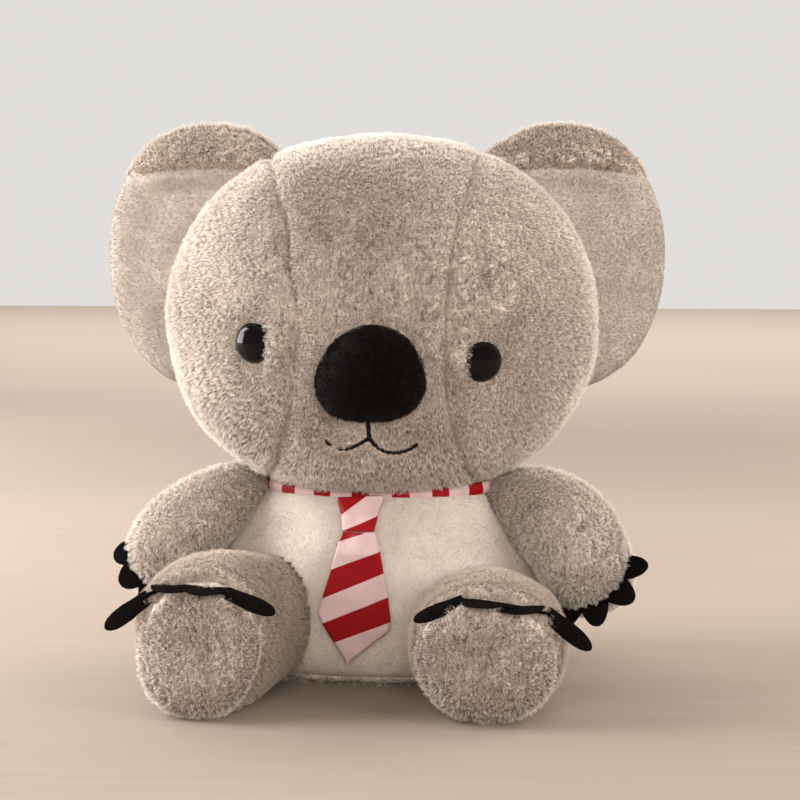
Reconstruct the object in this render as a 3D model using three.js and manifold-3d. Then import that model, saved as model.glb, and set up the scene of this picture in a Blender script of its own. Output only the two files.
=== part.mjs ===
// Seated plush koala, millimetres, +Z up, facing -Y, sitting on z = 0.
// Every soft limb is a stuffing core inside sewn fabric panels; the head, ears,
// arms, legs and tie flex at the seams and knots that hold them.
// "_l" and "_r" are the koala's own left (+X) and right (-X).

import * as THREE from 'three';
import { mergeVertices } from 'three/addons/utils/BufferGeometryUtils.js';
import Module from 'manifold-3d';

const wasm = await Module();
wasm.setup();

// ---------------------------------------------------------------- dimensions

const CLOTH = 3.0;            // sewn plush, backing and crushed pile
const SEAM = 0.4;             // cut between two sewn panels
const FILL_IN = 5.0;          // stuffing lies this far inside the outline

// torso: height, half width, front depth, back depth
const TORSO = [
  [0, 112, 84, 88], [8, 134, 98, 103], [28, 148, 107, 113], [55, 152, 110, 115],
  [80, 149, 108, 112], [105, 141, 101, 105], [125, 128, 93, 97], [140, 116, 87, 88],
  [150, 103, 79, 78], [157, 87, 66, 66], [163, 58, 44, 44],
];
const TORSO_TOP = 165;
const TORSO_POWER = 2.3;      // plan squareness
const BASE_SEAM_Z = 6;        // base panel meets the sides
const SIDE_SEAM_Y = 5;        // belly meets the back

// head: centre and half sizes, in the head frame whose origin is the neck pivot
const NECK = new THREE.Vector3(0, -5, 135);
const HEAD_TURN = 4 * Math.PI / 180;      // the head looks a little to its left
const HEAD_C = new THREE.Vector3(0, -15, 155);
const HEAD_HALF = new THREE.Vector3(170, 134, 143);
const HEAD_POWER = 2.15;
const NECK_R = 46;
const HEAD_SIDE_SEAM_Y = 8;   // face side meets the back of the head, head frame
// front seams, x and z in the head frame, top to bottom
const SEAM_R = [[-96, 320], [-91, 290], [-71, 235], [-62, 174], [-63, 130], [-67, 92], [-79, 52], [-96, -10]];
const SEAM_L = [[82, 320], [77, 290], [61, 232], [54, 178], [53, 115], [58, 80], [69, 42], [84, -10]];

// eyes: x and z on the face; the one on the koala's right sits higher
const EYE_R_AT = [-94.4, 142.3];
const EYE_L_AT = [79.8, 128.7];
const EYE_DIA = 30;
const STEM_DIA = 6;
const WASHER_DIA = 26;

// nose outline, x and z in the head frame
const NOSE_C = [-5, 118];
const NOSE_OUTLINE = [[-4, 160], [-18, 157], [-29, 150], [-39, 138], [-45.5, 124], [-47.5, 111], [-44.5, 100], [-40, 92.5], [-31, 86.5], [-20, 83.5], [-6, 83], [9, 84], [19, 87], [29, 93], [34, 100.5], [37.5, 112], [36, 125], [31.5, 138], [22.5, 151], [11, 157.5]];
const NOSE_DEPTH = 24;

// mouth line, x and z in the head frame
const MOUTH_DROP = [[-7.1, 80], [-6.8, 74], [-6.4, 69.2]];
const MOUTH_R = [[-6.4, 69.2], [-13.7, 64.8], [-20.1, 61.3], [-25.6, 59.8], [-32.6, 60.6], [-39.4, 65.4]];
const MOUTH_L = [[-6.4, 69.2], [-2.6, 63.8], [2, 60], [7.7, 57.4], [14.7, 57], [22.5, 59], [30.3, 64]];
const MOUTH_DIA = 2.4;

// ear: disc centre in the head frame, half width and height, half thickness, sweep
const EAR_C = new THREE.Vector3(146, 34, 203);
const EAR_W = 98, EAR_H = 110, EAR_T = 19;
const EAR_SWEEP = 22 * Math.PI / 180;
const EAR_FLAP_Z = 76;        // lower edge of the folded-over top, above the ear centre
const EAR_HINGE_A = new THREE.Vector3(96, 14, 298);
const EAR_HINGE_B = new THREE.Vector3(163, 42, 92);
const EAR_FOLD = 14;

// arm: centre line points and radii
const ARM = [
  [113, -22, 127, 25.5], [131, -41, 131, 34], [149, -60, 127, 38], [163, -72, 112, 39], [170, -80, 98, 36],
];
const ARM_RAISE = 25;
const HAND_CLAW_ANGLES = [-30, 2, 34, 66];

// leg: hip ball, then distance from the hip, half width, half height, centre height
const HIP = new THREE.Vector3(84, -58, 57);
const LEG_DIR = new THREE.Vector3(17.5, -157, 0).normalize();
const LEG = [
  [-46, 0, 0, 57], [-38, 25.9, 25.9, 57], [-22, 40.4, 40.4, 57], [0, 45.5, 46, 57],
  [40, 48, 51, 57.9], [78, 53.5, 57.3, 59.8], [112, 59.5, 61, 61.2],
  [136, 57.5, 59.5, 61.5], [149, 50, 52, 61.8], [158, 35, 37, 62], [162, 18, 19, 62], [163.5, 0, 0, 62],
];
const LEG_LIFT = 12;
const LEG_LOW = { l: 0.86, r: 0.945 };   // how high each leg stands next to its pattern
const LEG_SPLAY_R = 4.4;      // the koala's right leg is set this much further out

// tie and neck band
const TIE_KNOT_TOP = 152, TIE_KNOT_LOW = 127, TIE_KNOT_X = -9.5;
const TIE_SWING = 60;         // hinge across the lower edge of the knot

// -------------------------------------------------------------- solid helpers

function solidOf(geometry) {
  const g = geometry.clone();
  g.deleteAttribute('normal');
  g.deleteAttribute('uv');
  const m = mergeVertices(g, 1e-4);
  return new wasm.Manifold(new wasm.Mesh({
    numProp: 3,
    vertProperties: new Float32Array(m.attributes.position.array),
    triVerts: new Uint32Array(m.index.array),
  }));
}

function geometryOf(solid) {
  const m = solid.getMesh();
  const g = new THREE.BufferGeometry();
  g.setAttribute('position', new THREE.BufferAttribute(new Float32Array(m.vertProperties), 3));
  g.setIndex(new THREE.BufferAttribute(new Uint32Array(m.triVerts), 1));
  g.computeVertexNormals();
  return g;
}

// a sphere whose rings are moved onto given sections:
// rings[k] = { c: centre, u: first half axis, v: second half axis, p: squareness }
function bodyOfRings(around, rings) {
  const g = new THREE.SphereGeometry(1, around, rings.length - 1);
  const pos = g.attributes.position;
  const across = around + 1;
  for (let k = 0; k < rings.length; k++) {
    const { c, u, v, p } = rings[k];
    for (let i = 0; i < across; i++) {
      const a = 2 * Math.PI * (i % around) / around;
      let cu = Math.cos(a), cv = Math.sin(a);
      const n = p || 2;
      const s = Math.pow(Math.pow(Math.abs(cu), n) + Math.pow(Math.abs(cv), n), -1 / n);
      cu *= s; cv *= s;
      pos.setXYZ(k * across + i, c.x + u.x * cu + v.x * cv, c.y + u.y * cu + v.y * cv, c.z + u.z * cu + v.z * cv);
    }
  }
  return g;
}

function boxAt(size, centre, quaternion) {
  const g = new THREE.BoxGeometry(...size);
  if (quaternion) g.applyQuaternion(quaternion);
  g.translate(...centre);
  return solidOf(g);
}

// a prism of the outline (x, z) between two y values
function prismXZ(points, y0, y1) {
  const shape = new THREE.Shape(points.map(([x, z]) => new THREE.Vector2(x, z)));
  const g = new THREE.ExtrudeGeometry(shape, { depth: y1 - y0, bevelEnabled: false, steps: 1 });
  g.rotateX(Math.PI / 2);       // z up from y, depth runs to -y
  g.translate(0, y1, 0);
  return solidOf(g);
}

// a thin wall standing on the line (x, z), between two y values
function seamWall(line, width, y0, y1) {
  const left = [], right = [];
  for (let i = 0; i < line.length; i++) {
    const a = line[Math.max(0, i - 1)], b = line[Math.min(line.length - 1, i + 1)];
    const dx = b[0] - a[0], dz = b[1] - a[1], l = Math.hypot(dx, dz);
    left.push([line[i][0] - dz / l * width / 2, line[i][1] + dx / l * width / 2]);
    right.push([line[i][0] + dz / l * width / 2, line[i][1] - dx / l * width / 2]);
  }
  return prismXZ([...left, ...right.reverse()], y0, y1);
}

const mirrorX = (geometry) => {
  const g = geometry.clone();
  g.scale(-1, 1, 1);
  const idx = g.index.array;
  for (let i = 0; i < idx.length; i += 3) { const t = idx[i]; idx[i] = idx[i + 1]; idx[i + 1] = t; }
  return g;
};

const spun = (geometry, axis, deg, at) => {
  const g = geometry.clone();
  g.translate(-at.x, -at.y, -at.z);
  g.applyQuaternion(new THREE.Quaternion().setFromAxisAngle(axis, deg * Math.PI / 180));
  g.translate(at.x, at.y, at.z);
  return g;
};

const material = (color, roughness, metalness = 0) => new THREE.MeshStandardMaterial({ color, roughness, metalness });
const GREY = 0xa89a8c, GREY_DARK = 0x8f8275, WHITE = 0xe9dfd4, CREAM = 0xdccfc0, BLACK = 0x0d0b0a;
const FILL = 0xf4f2ee, RED = 0xaf141a, GLOSS = 0x0a0807, CLEAR_WHITE = 0xdedad4;

function mesh(name, solid, mat) {
  const m = new THREE.Mesh(geometryOf(solid), mat);
  m.name = name;
  return m;
}

// ----------------------------------------------------------------- raw shapes

// grown by "t" all round
function torsoShape(t, around = 22) {
  const z0 = -t, rows = [];
  rows.push({ c: new THREE.Vector3(0, 0, z0), u: new THREE.Vector3(), v: new THREE.Vector3() });
  for (const [z, a, yf, yb] of TORSO) rows.push(section(z === 0 ? z0 : z, a + t, yf + t, yb + t));
  rows.push({ c: new THREE.Vector3(0, 0, TORSO_TOP + t), u: new THREE.Vector3(), v: new THREE.Vector3() });
  rows.reverse();
  return bodyOfRings(around, rows);
  function section(z, a, yf, yb) {
    return { c: new THREE.Vector3(0, (yb - yf) / 2, z), u: new THREE.Vector3(a, 0, 0), v: new THREE.Vector3(0, (yb + yf) / 2, 0), p: TORSO_POWER };
  }
}

// in the head frame
function headShape(t, w = 24, h = 14) {
  const g = new THREE.SphereGeometry(1, w, h);
  g.rotateX(Math.PI / 2);
  const pos = g.attributes.position, n = HEAD_POWER;
  for (let i = 0; i < pos.count; i++) {
    const x = pos.getX(i), y = pos.getY(i), z = pos.getZ(i);
    const s = Math.pow(Math.abs(x) ** n + Math.abs(y) ** n + Math.abs(z) ** n, -1 / n);
    pos.setXYZ(i, HEAD_C.x + x * s * (HEAD_HALF.x + t), HEAD_C.y + y * s * (HEAD_HALF.y + t), HEAD_C.z + z * s * (HEAD_HALF.z + t));
  }
  return g;
}

// a point of the head's front surface over (x, z), with its outward normal
function onFace(x, z, lift = 0) {
  const n = HEAD_POWER, A = HEAD_HALF;
  const rx = Math.abs((x - HEAD_C.x) / A.x) ** n, rz = Math.abs((z - HEAD_C.z) / A.z) ** n;
  const ry = Math.pow(Math.max(1e-6, 1 - rx - rz), 1 / n);
  const p = new THREE.Vector3(x, HEAD_C.y - A.y * ry, z);
  const g = new THREE.Vector3(
    Math.sign(x - HEAD_C.x) * Math.abs((x - HEAD_C.x) / A.x) ** (n - 1) / A.x,
    -(ry ** (n - 1)) / A.y,
    Math.sign(z - HEAD_C.z) * Math.abs((z - HEAD_C.z) / A.z) ** (n - 1) / A.z).normalize();
  return { p: p.addScaledVector(g, lift), n: g };
}

function ball(r, at, w = 14, h = 10) {
  const g = new THREE.SphereGeometry(r, w, h);
  g.translate(at.x, at.y, at.z);
  return g;
}

const UP = new THREE.Vector3(0, 0, 1);

function armShape(t, around = 14, STEPS = 5) {
  const pts = ARM.map(([x, y, z]) => new THREE.Vector3(x, y, z));
  const curve = new THREE.CatmullRomCurve3(pts, false, 'centripetal');
  const stations = [];
  for (let i = 0; i <= STEPS; i++) {
    const s = i / STEPS, f = s * (ARM.length - 1), j = Math.min(ARM.length - 2, Math.floor(f));
    const r = ARM[j][3] + (ARM[j + 1][3] - ARM[j][3]) * (f - j) + t;
    stations.push({ c: curve.getPoint(s), d: curve.getTangent(s), r });
  }
  const rows = [];
  const ringAt = (c, d, r) => {
    const u = new THREE.Vector3().crossVectors(d, UP).normalize();
    const v = new THREE.Vector3().crossVectors(u, d).normalize();
    return { c, u: u.multiplyScalar(r), v: v.multiplyScalar(r) };
  };
  const first = stations[0], last = stations[STEPS];
  for (const deg of STEPS < 5 ? [90, 40] : [90, 55, 25]) rows.push(ringAt(first.c.clone().addScaledVector(first.d, -first.r * Math.sin(deg * Math.PI / 180)), first.d, first.r * Math.cos(deg * Math.PI / 180)));
  for (const s of stations) rows.push(ringAt(s.c, s.d, s.r));
  for (const deg of STEPS < 5 ? [45, 90] : [28, 58, 90]) rows.push(ringAt(last.c.clone().addScaledVector(last.d, last.r * Math.sin(deg * Math.PI / 180)), last.d, last.r * Math.cos(deg * Math.PI / 180)));
  return orient(bodyOfRings(around, rows));
}

function legShape(t, around = 16, sections = LEG) {
  const u = new THREE.Vector3().crossVectors(LEG_DIR, UP).normalize();
  const rows = sections.map(([s, w, h, z]) => {
    const end = s < 0 ? t * s / 46 : s > 130 ? t * (s - 130) / 33.5 : 0;
    const c = new THREE.Vector3(HIP.x + LEG_DIR.x * (s + end), HIP.y + LEG_DIR.y * (s + end), z);
    return { c, u: u.clone().multiplyScalar(w ? w + t : 0), v: new THREE.Vector3(0, 0, h ? h + t : 0), p: s > 0 ? 2.12 : 2 };
  });
  return orient(bodyOfRings(around, rows));
}

// in the ear's own frame: x outward, y back, z up
function earShape(t, w = 16, h = 10) {
  const g = new THREE.SphereGeometry(1, w, h);   // poles up and down
  g.rotateX(Math.PI / 2);
  const pos = g.attributes.position;
  for (let i = 0; i < pos.count; i++) {
    const x = pos.getX(i), y = pos.getY(i), z = pos.getZ(i);
    const plan = Math.pow(Math.abs(x) ** 2.15 + Math.abs(z) ** 2.15 + Math.abs(y) ** 2.6, -1 / 2.2);
    pos.setXYZ(i, x * plan * (EAR_W + t), y * plan * (EAR_T + t), z * plan * (EAR_H + t));
  }
  return g;
}

function orient(g) {
  const p = g.attributes.position, idx = g.index.array;
  let vol = 0;
  const a = new THREE.Vector3(), b = new THREE.Vector3(), c = new THREE.Vector3();
  for (let i = 0; i < idx.length; i += 3) {
    a.fromBufferAttribute(p, idx[i]); b.fromBufferAttribute(p, idx[i + 1]); c.fromBufferAttribute(p, idx[i + 2]);
    vol += a.dot(b.cross(c));
  }
  if (vol < 0) for (let i = 0; i < idx.length; i += 3) { const t = idx[i]; idx[i] = idx[i + 1]; idx[i + 1] = t; }
  return g;
}

const earPlace = new THREE.Matrix4().makeRotationZ(EAR_SWEEP).setPosition(EAR_C);
const headPlace = new THREE.Matrix4().makeRotationZ(HEAD_TURN).setPosition(NECK);

const armAxis = (() => {
  const d = new THREE.Vector3(ARM[4][0] - ARM[0][0], ARM[4][1] - ARM[0][1], 0).normalize();
  return new THREE.Vector3().crossVectors(d, UP).normalize();
})();
const legAxis = new THREE.Vector3().crossVectors(LEG_DIR, UP).normalize();
const shoulder = new THREE.Vector3(ARM[0][0], ARM[0][1], ARM[0][2]);

// ------------------------------------------------- room for what moves (torso)

// sockets a little larger than each limb, set half way along its travel
const armRoom = solidOf(spun(armShape(5, 10, 3), armAxis, ARM_RAISE * 0.55, shoulder)).add(solidOf(armShape(2.6, 10, 3)));
const roomForLeg = (low) => {
  const g = legShape(7.8, 12, [LEG[0], LEG[1], LEG[2], LEG[3], LEG[4], LEG[5], [110, 0, 0, 60]]);
  g.scale(1, 1, low);
  return solidOf(spun(g, legAxis, LEG_LIFT / 2, new THREE.Vector3(HIP.x, HIP.y, HIP.z * low)));
};
const headRoom = (() => {
  const g = headShape(0, 16, 10);
  g.translate(-HEAD_C.x, -HEAD_C.y, -HEAD_C.z);
  g.scale(1 + 7 / HEAD_HALF.x, 1 + 20 / HEAD_HALF.y, 1 + 8 / HEAD_HALF.z);
  g.translate(HEAD_C.x, HEAD_C.y + 5, HEAD_C.z);
  g.applyMatrix4(headPlace);
  return solidOf(g);
})();
const mirrored = (solid) => solidOf(mirrorX(geometryOf(solid)));
const HIP_R = new THREE.Vector3(-HIP.x, HIP.y, HIP.z);
const rightLeg = (solid) => solidOf(spun(geometryOf(mirrored(solid)), UP, -LEG_SPLAY_R, HIP_R));
const lowered = (solid, low) => {
  const g = geometryOf(solid);
  g.scale(1, 1, low);
  return solidOf(g);
};

const neckBall = ball(NECK_R, NECK, 16, 10);
const neckRoom = solidOf(ball(NECK_R + 2.6, NECK, 14, 8));
const torsoRooms = armRoom.add(mirrored(armRoom)).add(roomForLeg(LEG_LOW.l)).add(rightLeg(roomForLeg(LEG_LOW.r))).add(headRoom).add(neckRoom);

// ------------------------------------------------------------------- assembly

const koala = new THREE.Group();
koala.name = 'plush_koala';

// ---- torso
const torsoGroup = new THREE.Group();
koala.add(torsoGroup);
const torsoSkin = solidOf(torsoShape(0)).subtract(solidOf(torsoShape(-CLOTH)));
const above = boxAt([400, 400, 300], [0, 0, BASE_SEAM_Z + SEAM / 2 + 150]);
const below = boxAt([400, 400, 300], [0, 0, BASE_SEAM_Z - SEAM / 2 - 150]);
const front = boxAt([400, 300, 400], [0, SIDE_SEAM_Y - SEAM / 2 - 150, 100]);
const back = boxAt([400, 300, 400], [0, SIDE_SEAM_Y + SEAM / 2 + 150, 100]);
torsoGroup.add(mesh('torso_belly_panel', torsoSkin.subtract(torsoRooms).intersect(above).intersect(front), material(WHITE, 0.95)));
torsoGroup.add(mesh('torso_back_panel', torsoSkin.subtract(torsoRooms).intersect(above).intersect(back), material(GREY, 0.95)));
torsoGroup.add(mesh('torso_base_panel', torsoSkin.subtract(torsoRooms).intersect(below), material(GREY, 0.95)));
torsoGroup.add(mesh('torso_stuffing', solidOf(torsoShape(-FILL_IN - 1, 14)).subtract(torsoRooms), material(FILL, 1)));

// neck band: a ribbon laid round the top of the shoulders
const bandSlab = boxAt([400, 400, 10], [0, 0, 151]);
const bandRing = solidOf(torsoShape(2.4)).subtract(solidOf(torsoShape(0.5))).intersect(bandSlab);
// tie knot: a folded wrap, wider at the top, on the front of the band
const knotY = -93;
const knotGeo = new THREE.BoxGeometry(1, 1, 1, 2, 2, 2);
{
  const p = knotGeo.attributes.position;
  for (let i = 0; i < p.count; i++) {
    const u = p.getX(i) * 2, v = p.getY(i) * 2, w = p.getZ(i) * 2;      // -1..1
    const half = w > 0.5 ? 18.4 : w < -0.5 ? 12.4 : 14.8;
    const deep = (w > 0.5 ? 4.4 : w < -0.5 ? 4.0 : 5.6) * (Math.abs(u) > 0.5 ? 0.62 : 1);
    const z = (TIE_KNOT_TOP + TIE_KNOT_LOW) / 2 + w * (TIE_KNOT_TOP - TIE_KNOT_LOW) / 2;
    p.setXYZ(i, TIE_KNOT_X + u * half, knotY - w * -3.4 + v * deep, z);
  }
}
const grown = solidOf(torsoShape(2.9));
const knotSolid = solidOf(knotGeo).subtract(grown);
const bandSolid = bandRing.subtract(headRoom).subtract(armRoom).subtract(mirrored(armRoom));
torsoGroup.add(mesh('neck_band', bandSolid, material(RED, 0.6)));
torsoGroup.add(mesh('tie_knot', knotSolid.subtract(headRoom), material(RED, 0.6)));

// tie blade: a flat pointed strip that hangs from the knot over the belly
const BLADE = [[-21.5, 125.6], [-25, 116.7], [-31, 94.4], [-37.3, 73.2], [-41, 63], [-37.2, 53.8], [-27.3, 38.4], [-17, 23], [-4.3, 33.6], [16, 49.6], [17.2, 57], [15.1, 75.4], [11.6, 94.6], [10.4, 103], [8, 115.6], [3.4, 125.6]];
const bladeGeo = (() => {
  const shape = new THREE.Shape(BLADE.map(([x, z]) => new THREE.Vector2(x, z)));
  const g = new THREE.ExtrudeGeometry(shape, { depth: 2.2, bevelEnabled: false });
  g.rotateX(Math.PI / 2);
  const p = g.attributes.position;
  for (let i = 0; i < p.count; i++) {
    const z = p.getZ(i), y = p.getY(i);
    const lean = z > 110 ? -105.4 - (125.6 - z) * 0.46 : z > 60 ? -112.6 - (110 - z) * 0.035 : -114.35;
    p.setY(i, y + lean);
  }
  return g;
})();
const tieGroup = new THREE.Group();
koala.add(tieGroup);
tieGroup.add(mesh('tie_blade', solidOf(bladeGeo), material(RED, 0.6)));

// ---- neck: the plug of stuffing through the neck opening
const neckGroup = new THREE.Group();
koala.add(neckGroup);
neckGroup.add(mesh('neck_stuffing', solidOf(neckBall), material(FILL, 1)));

// ---- head
const headGroup = new THREE.Group();
headGroup.position.copy(NECK);
headGroup.rotation.z = HEAD_TURN;
koala.add(headGroup);

const neckHole = solidOf(ball(NECK_R + 2.6, new THREE.Vector3(), 14, 8));
const headOuter = solidOf(headShape(0));
const headSkin = headOuter.subtract(solidOf(headShape(-CLOTH))).subtract(neckHole);
const eyes = [['r', EYE_R_AT], ['l', EYE_L_AT]].map(([side, [x, z]]) => {
  const { p, n } = onFace(x, z);
  const q = new THREE.Quaternion().setFromUnitVectors(UP, n);
  return { side, p, n, q };
});
const along = (geometry, e, out) => {       // turned shape on +Z, moved "out" along the eye's normal
  const g = geometry.clone();
  g.applyQuaternion(e.q);
  g.translate(e.p.x + e.n.x * out, e.p.y + e.n.y * out, e.p.z + e.n.z * out);
  return solidOf(g);
};
const turned = (profile, segments) => {
  const g = new THREE.LatheGeometry(profile.map(([r, h]) => new THREE.Vector2(r, h)), segments);
  g.rotateX(Math.PI / 2);
  return orient(g);
};
const eyeParts = eyes.map((e) => {
  const R = EYE_DIA / 2, s = STEM_DIA / 2;
  const eye = turned([[0, -14], [s - 0.8, -14], [s, -13], [s, 0.5], [R - 1.2, 0.5], [R, 1.6], [R * 0.92, 4.6], [R * 0.7, 7.7], [R * 0.36, 9.6], [0, 10.1]], 16);
  const washer = turned([[s + 0.3, -8.6], [WASHER_DIA / 2, -8.6], [WASHER_DIA / 2, -6.8], [s + 0.3, -6.0], [s + 0.3, -8.6]], 12);
  return {
    side: e.side,
    eye: along(eye, e, 0),
    washer: along(washer, e, 0),
    hole: along(turned([[0, -8], [s + 0.7, -8], [s + 0.7, 4], [0, 4]], 10), e, 0),
    room: along(turned([[0, -15.5], [s + 0.9, -15.5], [s + 0.9, -9.1], [WASHER_DIA / 2 + 1, -9.1], [WASHER_DIA / 2 + 1, 4], [0, 4]], 12), e, 0),
  };
});
let faceSkin = headSkin;
for (const e of eyeParts) faceSkin = faceSkin.subtract(e.hole);
const frontHalf = boxAt([500, 300, 500], [0, HEAD_SIDE_SEAM_Y - SEAM / 2 - 150, 150]);
const backHalf = boxAt([500, 300, 500], [0, HEAD_SIDE_SEAM_Y + SEAM / 2 + 150, 150]);
const cutR = seamWall(SEAM_R, SEAM, -260, HEAD_SIDE_SEAM_Y + 2), cutL = seamWall(SEAM_L, SEAM, -260, HEAD_SIDE_SEAM_Y + 2);
const faceParts = faceSkin.intersect(frontHalf).subtract(cutR).subtract(cutL).decompose();
const midX = (s) => { const b = s.boundingBox(); return (b.min[0] + b.max[0]) / 2; };
faceParts.sort((a, b) => midX(a) - midX(b));
headGroup.add(mesh('head_side_panel_r', faceParts[0], material(GREY, 0.95)));
headGroup.add(mesh('head_front_panel', faceParts[1], material(GREY, 0.95)));
headGroup.add(mesh('head_side_panel_l', faceParts[2], material(GREY, 0.95)));
headGroup.add(mesh('head_back_panel', faceSkin.intersect(backHalf), material(GREY, 0.95)));
let headFill = solidOf(headShape(-FILL_IN - 0.6, 18, 11)).subtract(neckHole);
for (const e of eyeParts) headFill = headFill.subtract(e.room);
headGroup.add(mesh('head_stuffing', headFill, material(FILL, 1)));
for (const e of eyeParts) {
  headGroup.add(mesh(`eye_${e.side}`, e.eye, material(GLOSS, 0.08)));
  headGroup.add(mesh(`eye_washer_${e.side}`, e.washer, material(CLEAR_WHITE, 0.5)));
}

// nose: a small black cushion sewn on the front panel
const noseRadius = (angle) => {
  // distance from the nose centre to its outline in this direction
  const dx = Math.cos(angle), dz = Math.sin(angle);
  let best = 40;
  for (let i = 0; i < NOSE_OUTLINE.length; i++) {
    const [x1, z1] = NOSE_OUTLINE[i], [x2, z2] = NOSE_OUTLINE[(i + 1) % NOSE_OUTLINE.length];
    const ax = x1 - NOSE_C[0], az = z1 - NOSE_C[1], ex = x2 - x1, ez = z2 - z1;
    const det = dx * -ez - dz * -ex;
    const r = (ax * -ez - az * -ex) / det, k = (dx * az - dz * ax) / det;
    if (r > 0 && k >= -1e-6 && k <= 1 + 1e-6) best = r;
  }
  return best;
};
const noseShape = (t) => {
  const g = new THREE.SphereGeometry(1, 18, 8);     // poles front and back
  g.rotateX(Math.PI / 2); g.rotateX(Math.PI / 2);
  const p = g.attributes.position;
  const base = onFace(NOSE_C[0], NOSE_C[1]).p.y;
  g.rotateX(Math.PI / 2);
  for (let i = 0; i < p.count; i++) {
    const x = p.getX(i), y = p.getY(i), z = p.getZ(i), rho = Math.hypot(x, z);
    const a = Math.atan2(z, x), R = rho < 1e-6 ? 0 : noseRadius(a) + t;
    const full = Math.pow(Math.min(1, rho), 0.92);
    p.setXYZ(i, NOSE_C[0] + Math.cos(a) * R * full, base + 5 + y * (NOSE_DEPTH + t), NOSE_C[1] + Math.sin(a) * R * full);
  }
  return orient(g);
};
const headForNose = solidOf(headShape(0.4));
headGroup.add(mesh('nose_cover', solidOf(noseShape(0)).subtract(solidOf(noseShape(-1.8))).subtract(headForNose), material(BLACK, 0.9)));
headGroup.add(mesh('nose_stuffing', solidOf(noseShape(-2.2)).subtract(headForNose), material(FILL, 1)));

// mouth: one embroidered line
const mouthRun = (pts) => {
  const curve = new THREE.CatmullRomCurve3(pts.map(([x, z]) => onFace(x, z, MOUTH_DIA / 2 + 0.35).p));
  const section = new THREE.Shape();
  section.absarc(0, 0, MOUTH_DIA / 2, 0, 2 * Math.PI, false);
  return solidOf(new THREE.ExtrudeGeometry(section, { steps: pts.length + 1, extrudePath: curve, curveSegments: 3, bevelEnabled: false }));
};
const mouthJoin = solidOf(ball(MOUTH_DIA / 2, onFace(-6.4, 69.2, MOUTH_DIA / 2 + 0.35).p, 6, 4));
headGroup.add(mesh('mouth_stitching', mouthRun(MOUTH_DROP).add(mouthRun(MOUTH_R)).add(mouthRun(MOUTH_L)).add(mouthJoin).subtract(solidOf(headShape(0.1))), material(BLACK, 0.8)));

// ---- ears, hinged on the seam that holds them
const headRoomForEar = (() => {
  const axis = new THREE.Vector3().subVectors(EAR_HINGE_B, EAR_HINGE_A).normalize();
  return [-EAR_FOLD, 0, EAR_FOLD].map((deg) => solidOf(spun(headShape(5.4, 16, 10), axis, -deg, EAR_HINGE_A))).reduce((a, b) => a.add(b));
})();
const earOutline = [];
for (let i = 0; i < 24; i++) {
  const a = 2 * Math.PI * i / 24, n = 2.3;
  const s = Math.pow(Math.abs(Math.cos(a)) ** n + Math.abs(Math.sin(a)) ** n, -1 / n);
  earOutline.push([Math.cos(a) * s * (EAR_W - 9), Math.sin(a) * s * (EAR_H - 9)]);
}
const flapLine = ([x, z], grow) => [x, Math.min(z, EAR_FLAP_Z + grow - 0.0012 * x * x)];
const earInnerPrism = (grow) => prismXZ(earOutline.map(([x, z]) => flapLine([x * (1 + grow / EAR_W), z * (1 + grow / EAR_H)], grow)), -60, -2 + grow);
const earShell = solidOf(earShape(0)).subtract(solidOf(earShape(-CLOTH)));
const placeEar = (solid) => {
  const g = geometryOf(solid);
  g.applyMatrix4(earPlace);
  return solidOf(g).subtract(headRoomForEar);
};
const earParts = {
  ear_inner: [placeEar(earShell.intersect(earInnerPrism(0))), CREAM],
  ear_back: [placeEar(earShell.subtract(earInnerPrism(SEAM))), GREY],
  ear_stuffing: [placeEar(solidOf(earShape(-FILL_IN, 12, 8))), FILL],
};
for (const [side, flip] of [['l', false], ['r', true]]) {
  const ear = new THREE.Group();
  headGroup.add(ear);
  for (const [name, [solid, color]] of Object.entries(earParts)) {
    ear.add(mesh(`${name}_${side}`, flip ? mirrored(solid) : solid, material(color, 0.95)));
  }
}

// ---- arms: two panels over stuffing, felt claws in the seam round the hand
const armDir = new THREE.Vector3(ARM[4][0] - ARM[0][0], ARM[4][1] - ARM[0][1], ARM[4][2] - ARM[0][2]).normalize();
const clawRow = new THREE.Vector3(-0.835, 0, -0.55);
const armNormal = new THREE.Vector3().crossVectors(armDir, clawRow).normalize();   // points to the back panel
const clawSide = new THREE.Vector3().crossVectors(armNormal, armDir).normalize();  // towards the inner claw
const hand = new THREE.Vector3(ARM[4][0], ARM[4][1], ARM[4][2]);
const armFrame = new THREE.Matrix4().makeBasis(armDir, clawSide, armNormal);
const armTurn = new THREE.Quaternion().setFromRotationMatrix(armFrame);
const half = (sign) => {
  const c = shoulder.clone().addScaledVector(armNormal, sign * (150 + SEAM / 2));
  return boxAt([500, 500, 300], c.toArray(), armTurn);
};
const armSkin = solidOf(armShape(0)).subtract(solidOf(armShape(-CLOTH)));
const armClaws = (() => {
  const H = ARM[4][3];
  const pts = [];
  const at = (deg, r) => pts.push(new THREE.Vector2(Math.cos(deg * Math.PI / 180) * r, Math.sin(deg * Math.PI / 180) * r));
  const first = HAND_CLAW_ANGLES[0] - 15, last = HAND_CLAW_ANGLES[3] + 15;
  at(first, H + 0.8);
  for (const c of HAND_CLAW_ANGLES) {
    at(c - 13, H + 4); at(c - 10, H + 11); at(c - 4.5, H + 16.5); at(c + 1.5, H + 17.5); at(c + 7, H + 14); at(c + 12, H + 6);
  }
  at(last, H + 0.8);
  for (let d = last; d >= first; d -= 12) at(d, H - 6);
  const g = new THREE.ExtrudeGeometry(new THREE.Shape(pts), { depth: 2.6, bevelEnabled: false });
  g.translate(0, 0, -1.3);
  g.applyQuaternion(armTurn);
  g.translate(hand.x, hand.y, hand.z);
  return solidOf(orient(indexed(g))).subtract(solidOf(armShape(0.4)));
})();
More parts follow.
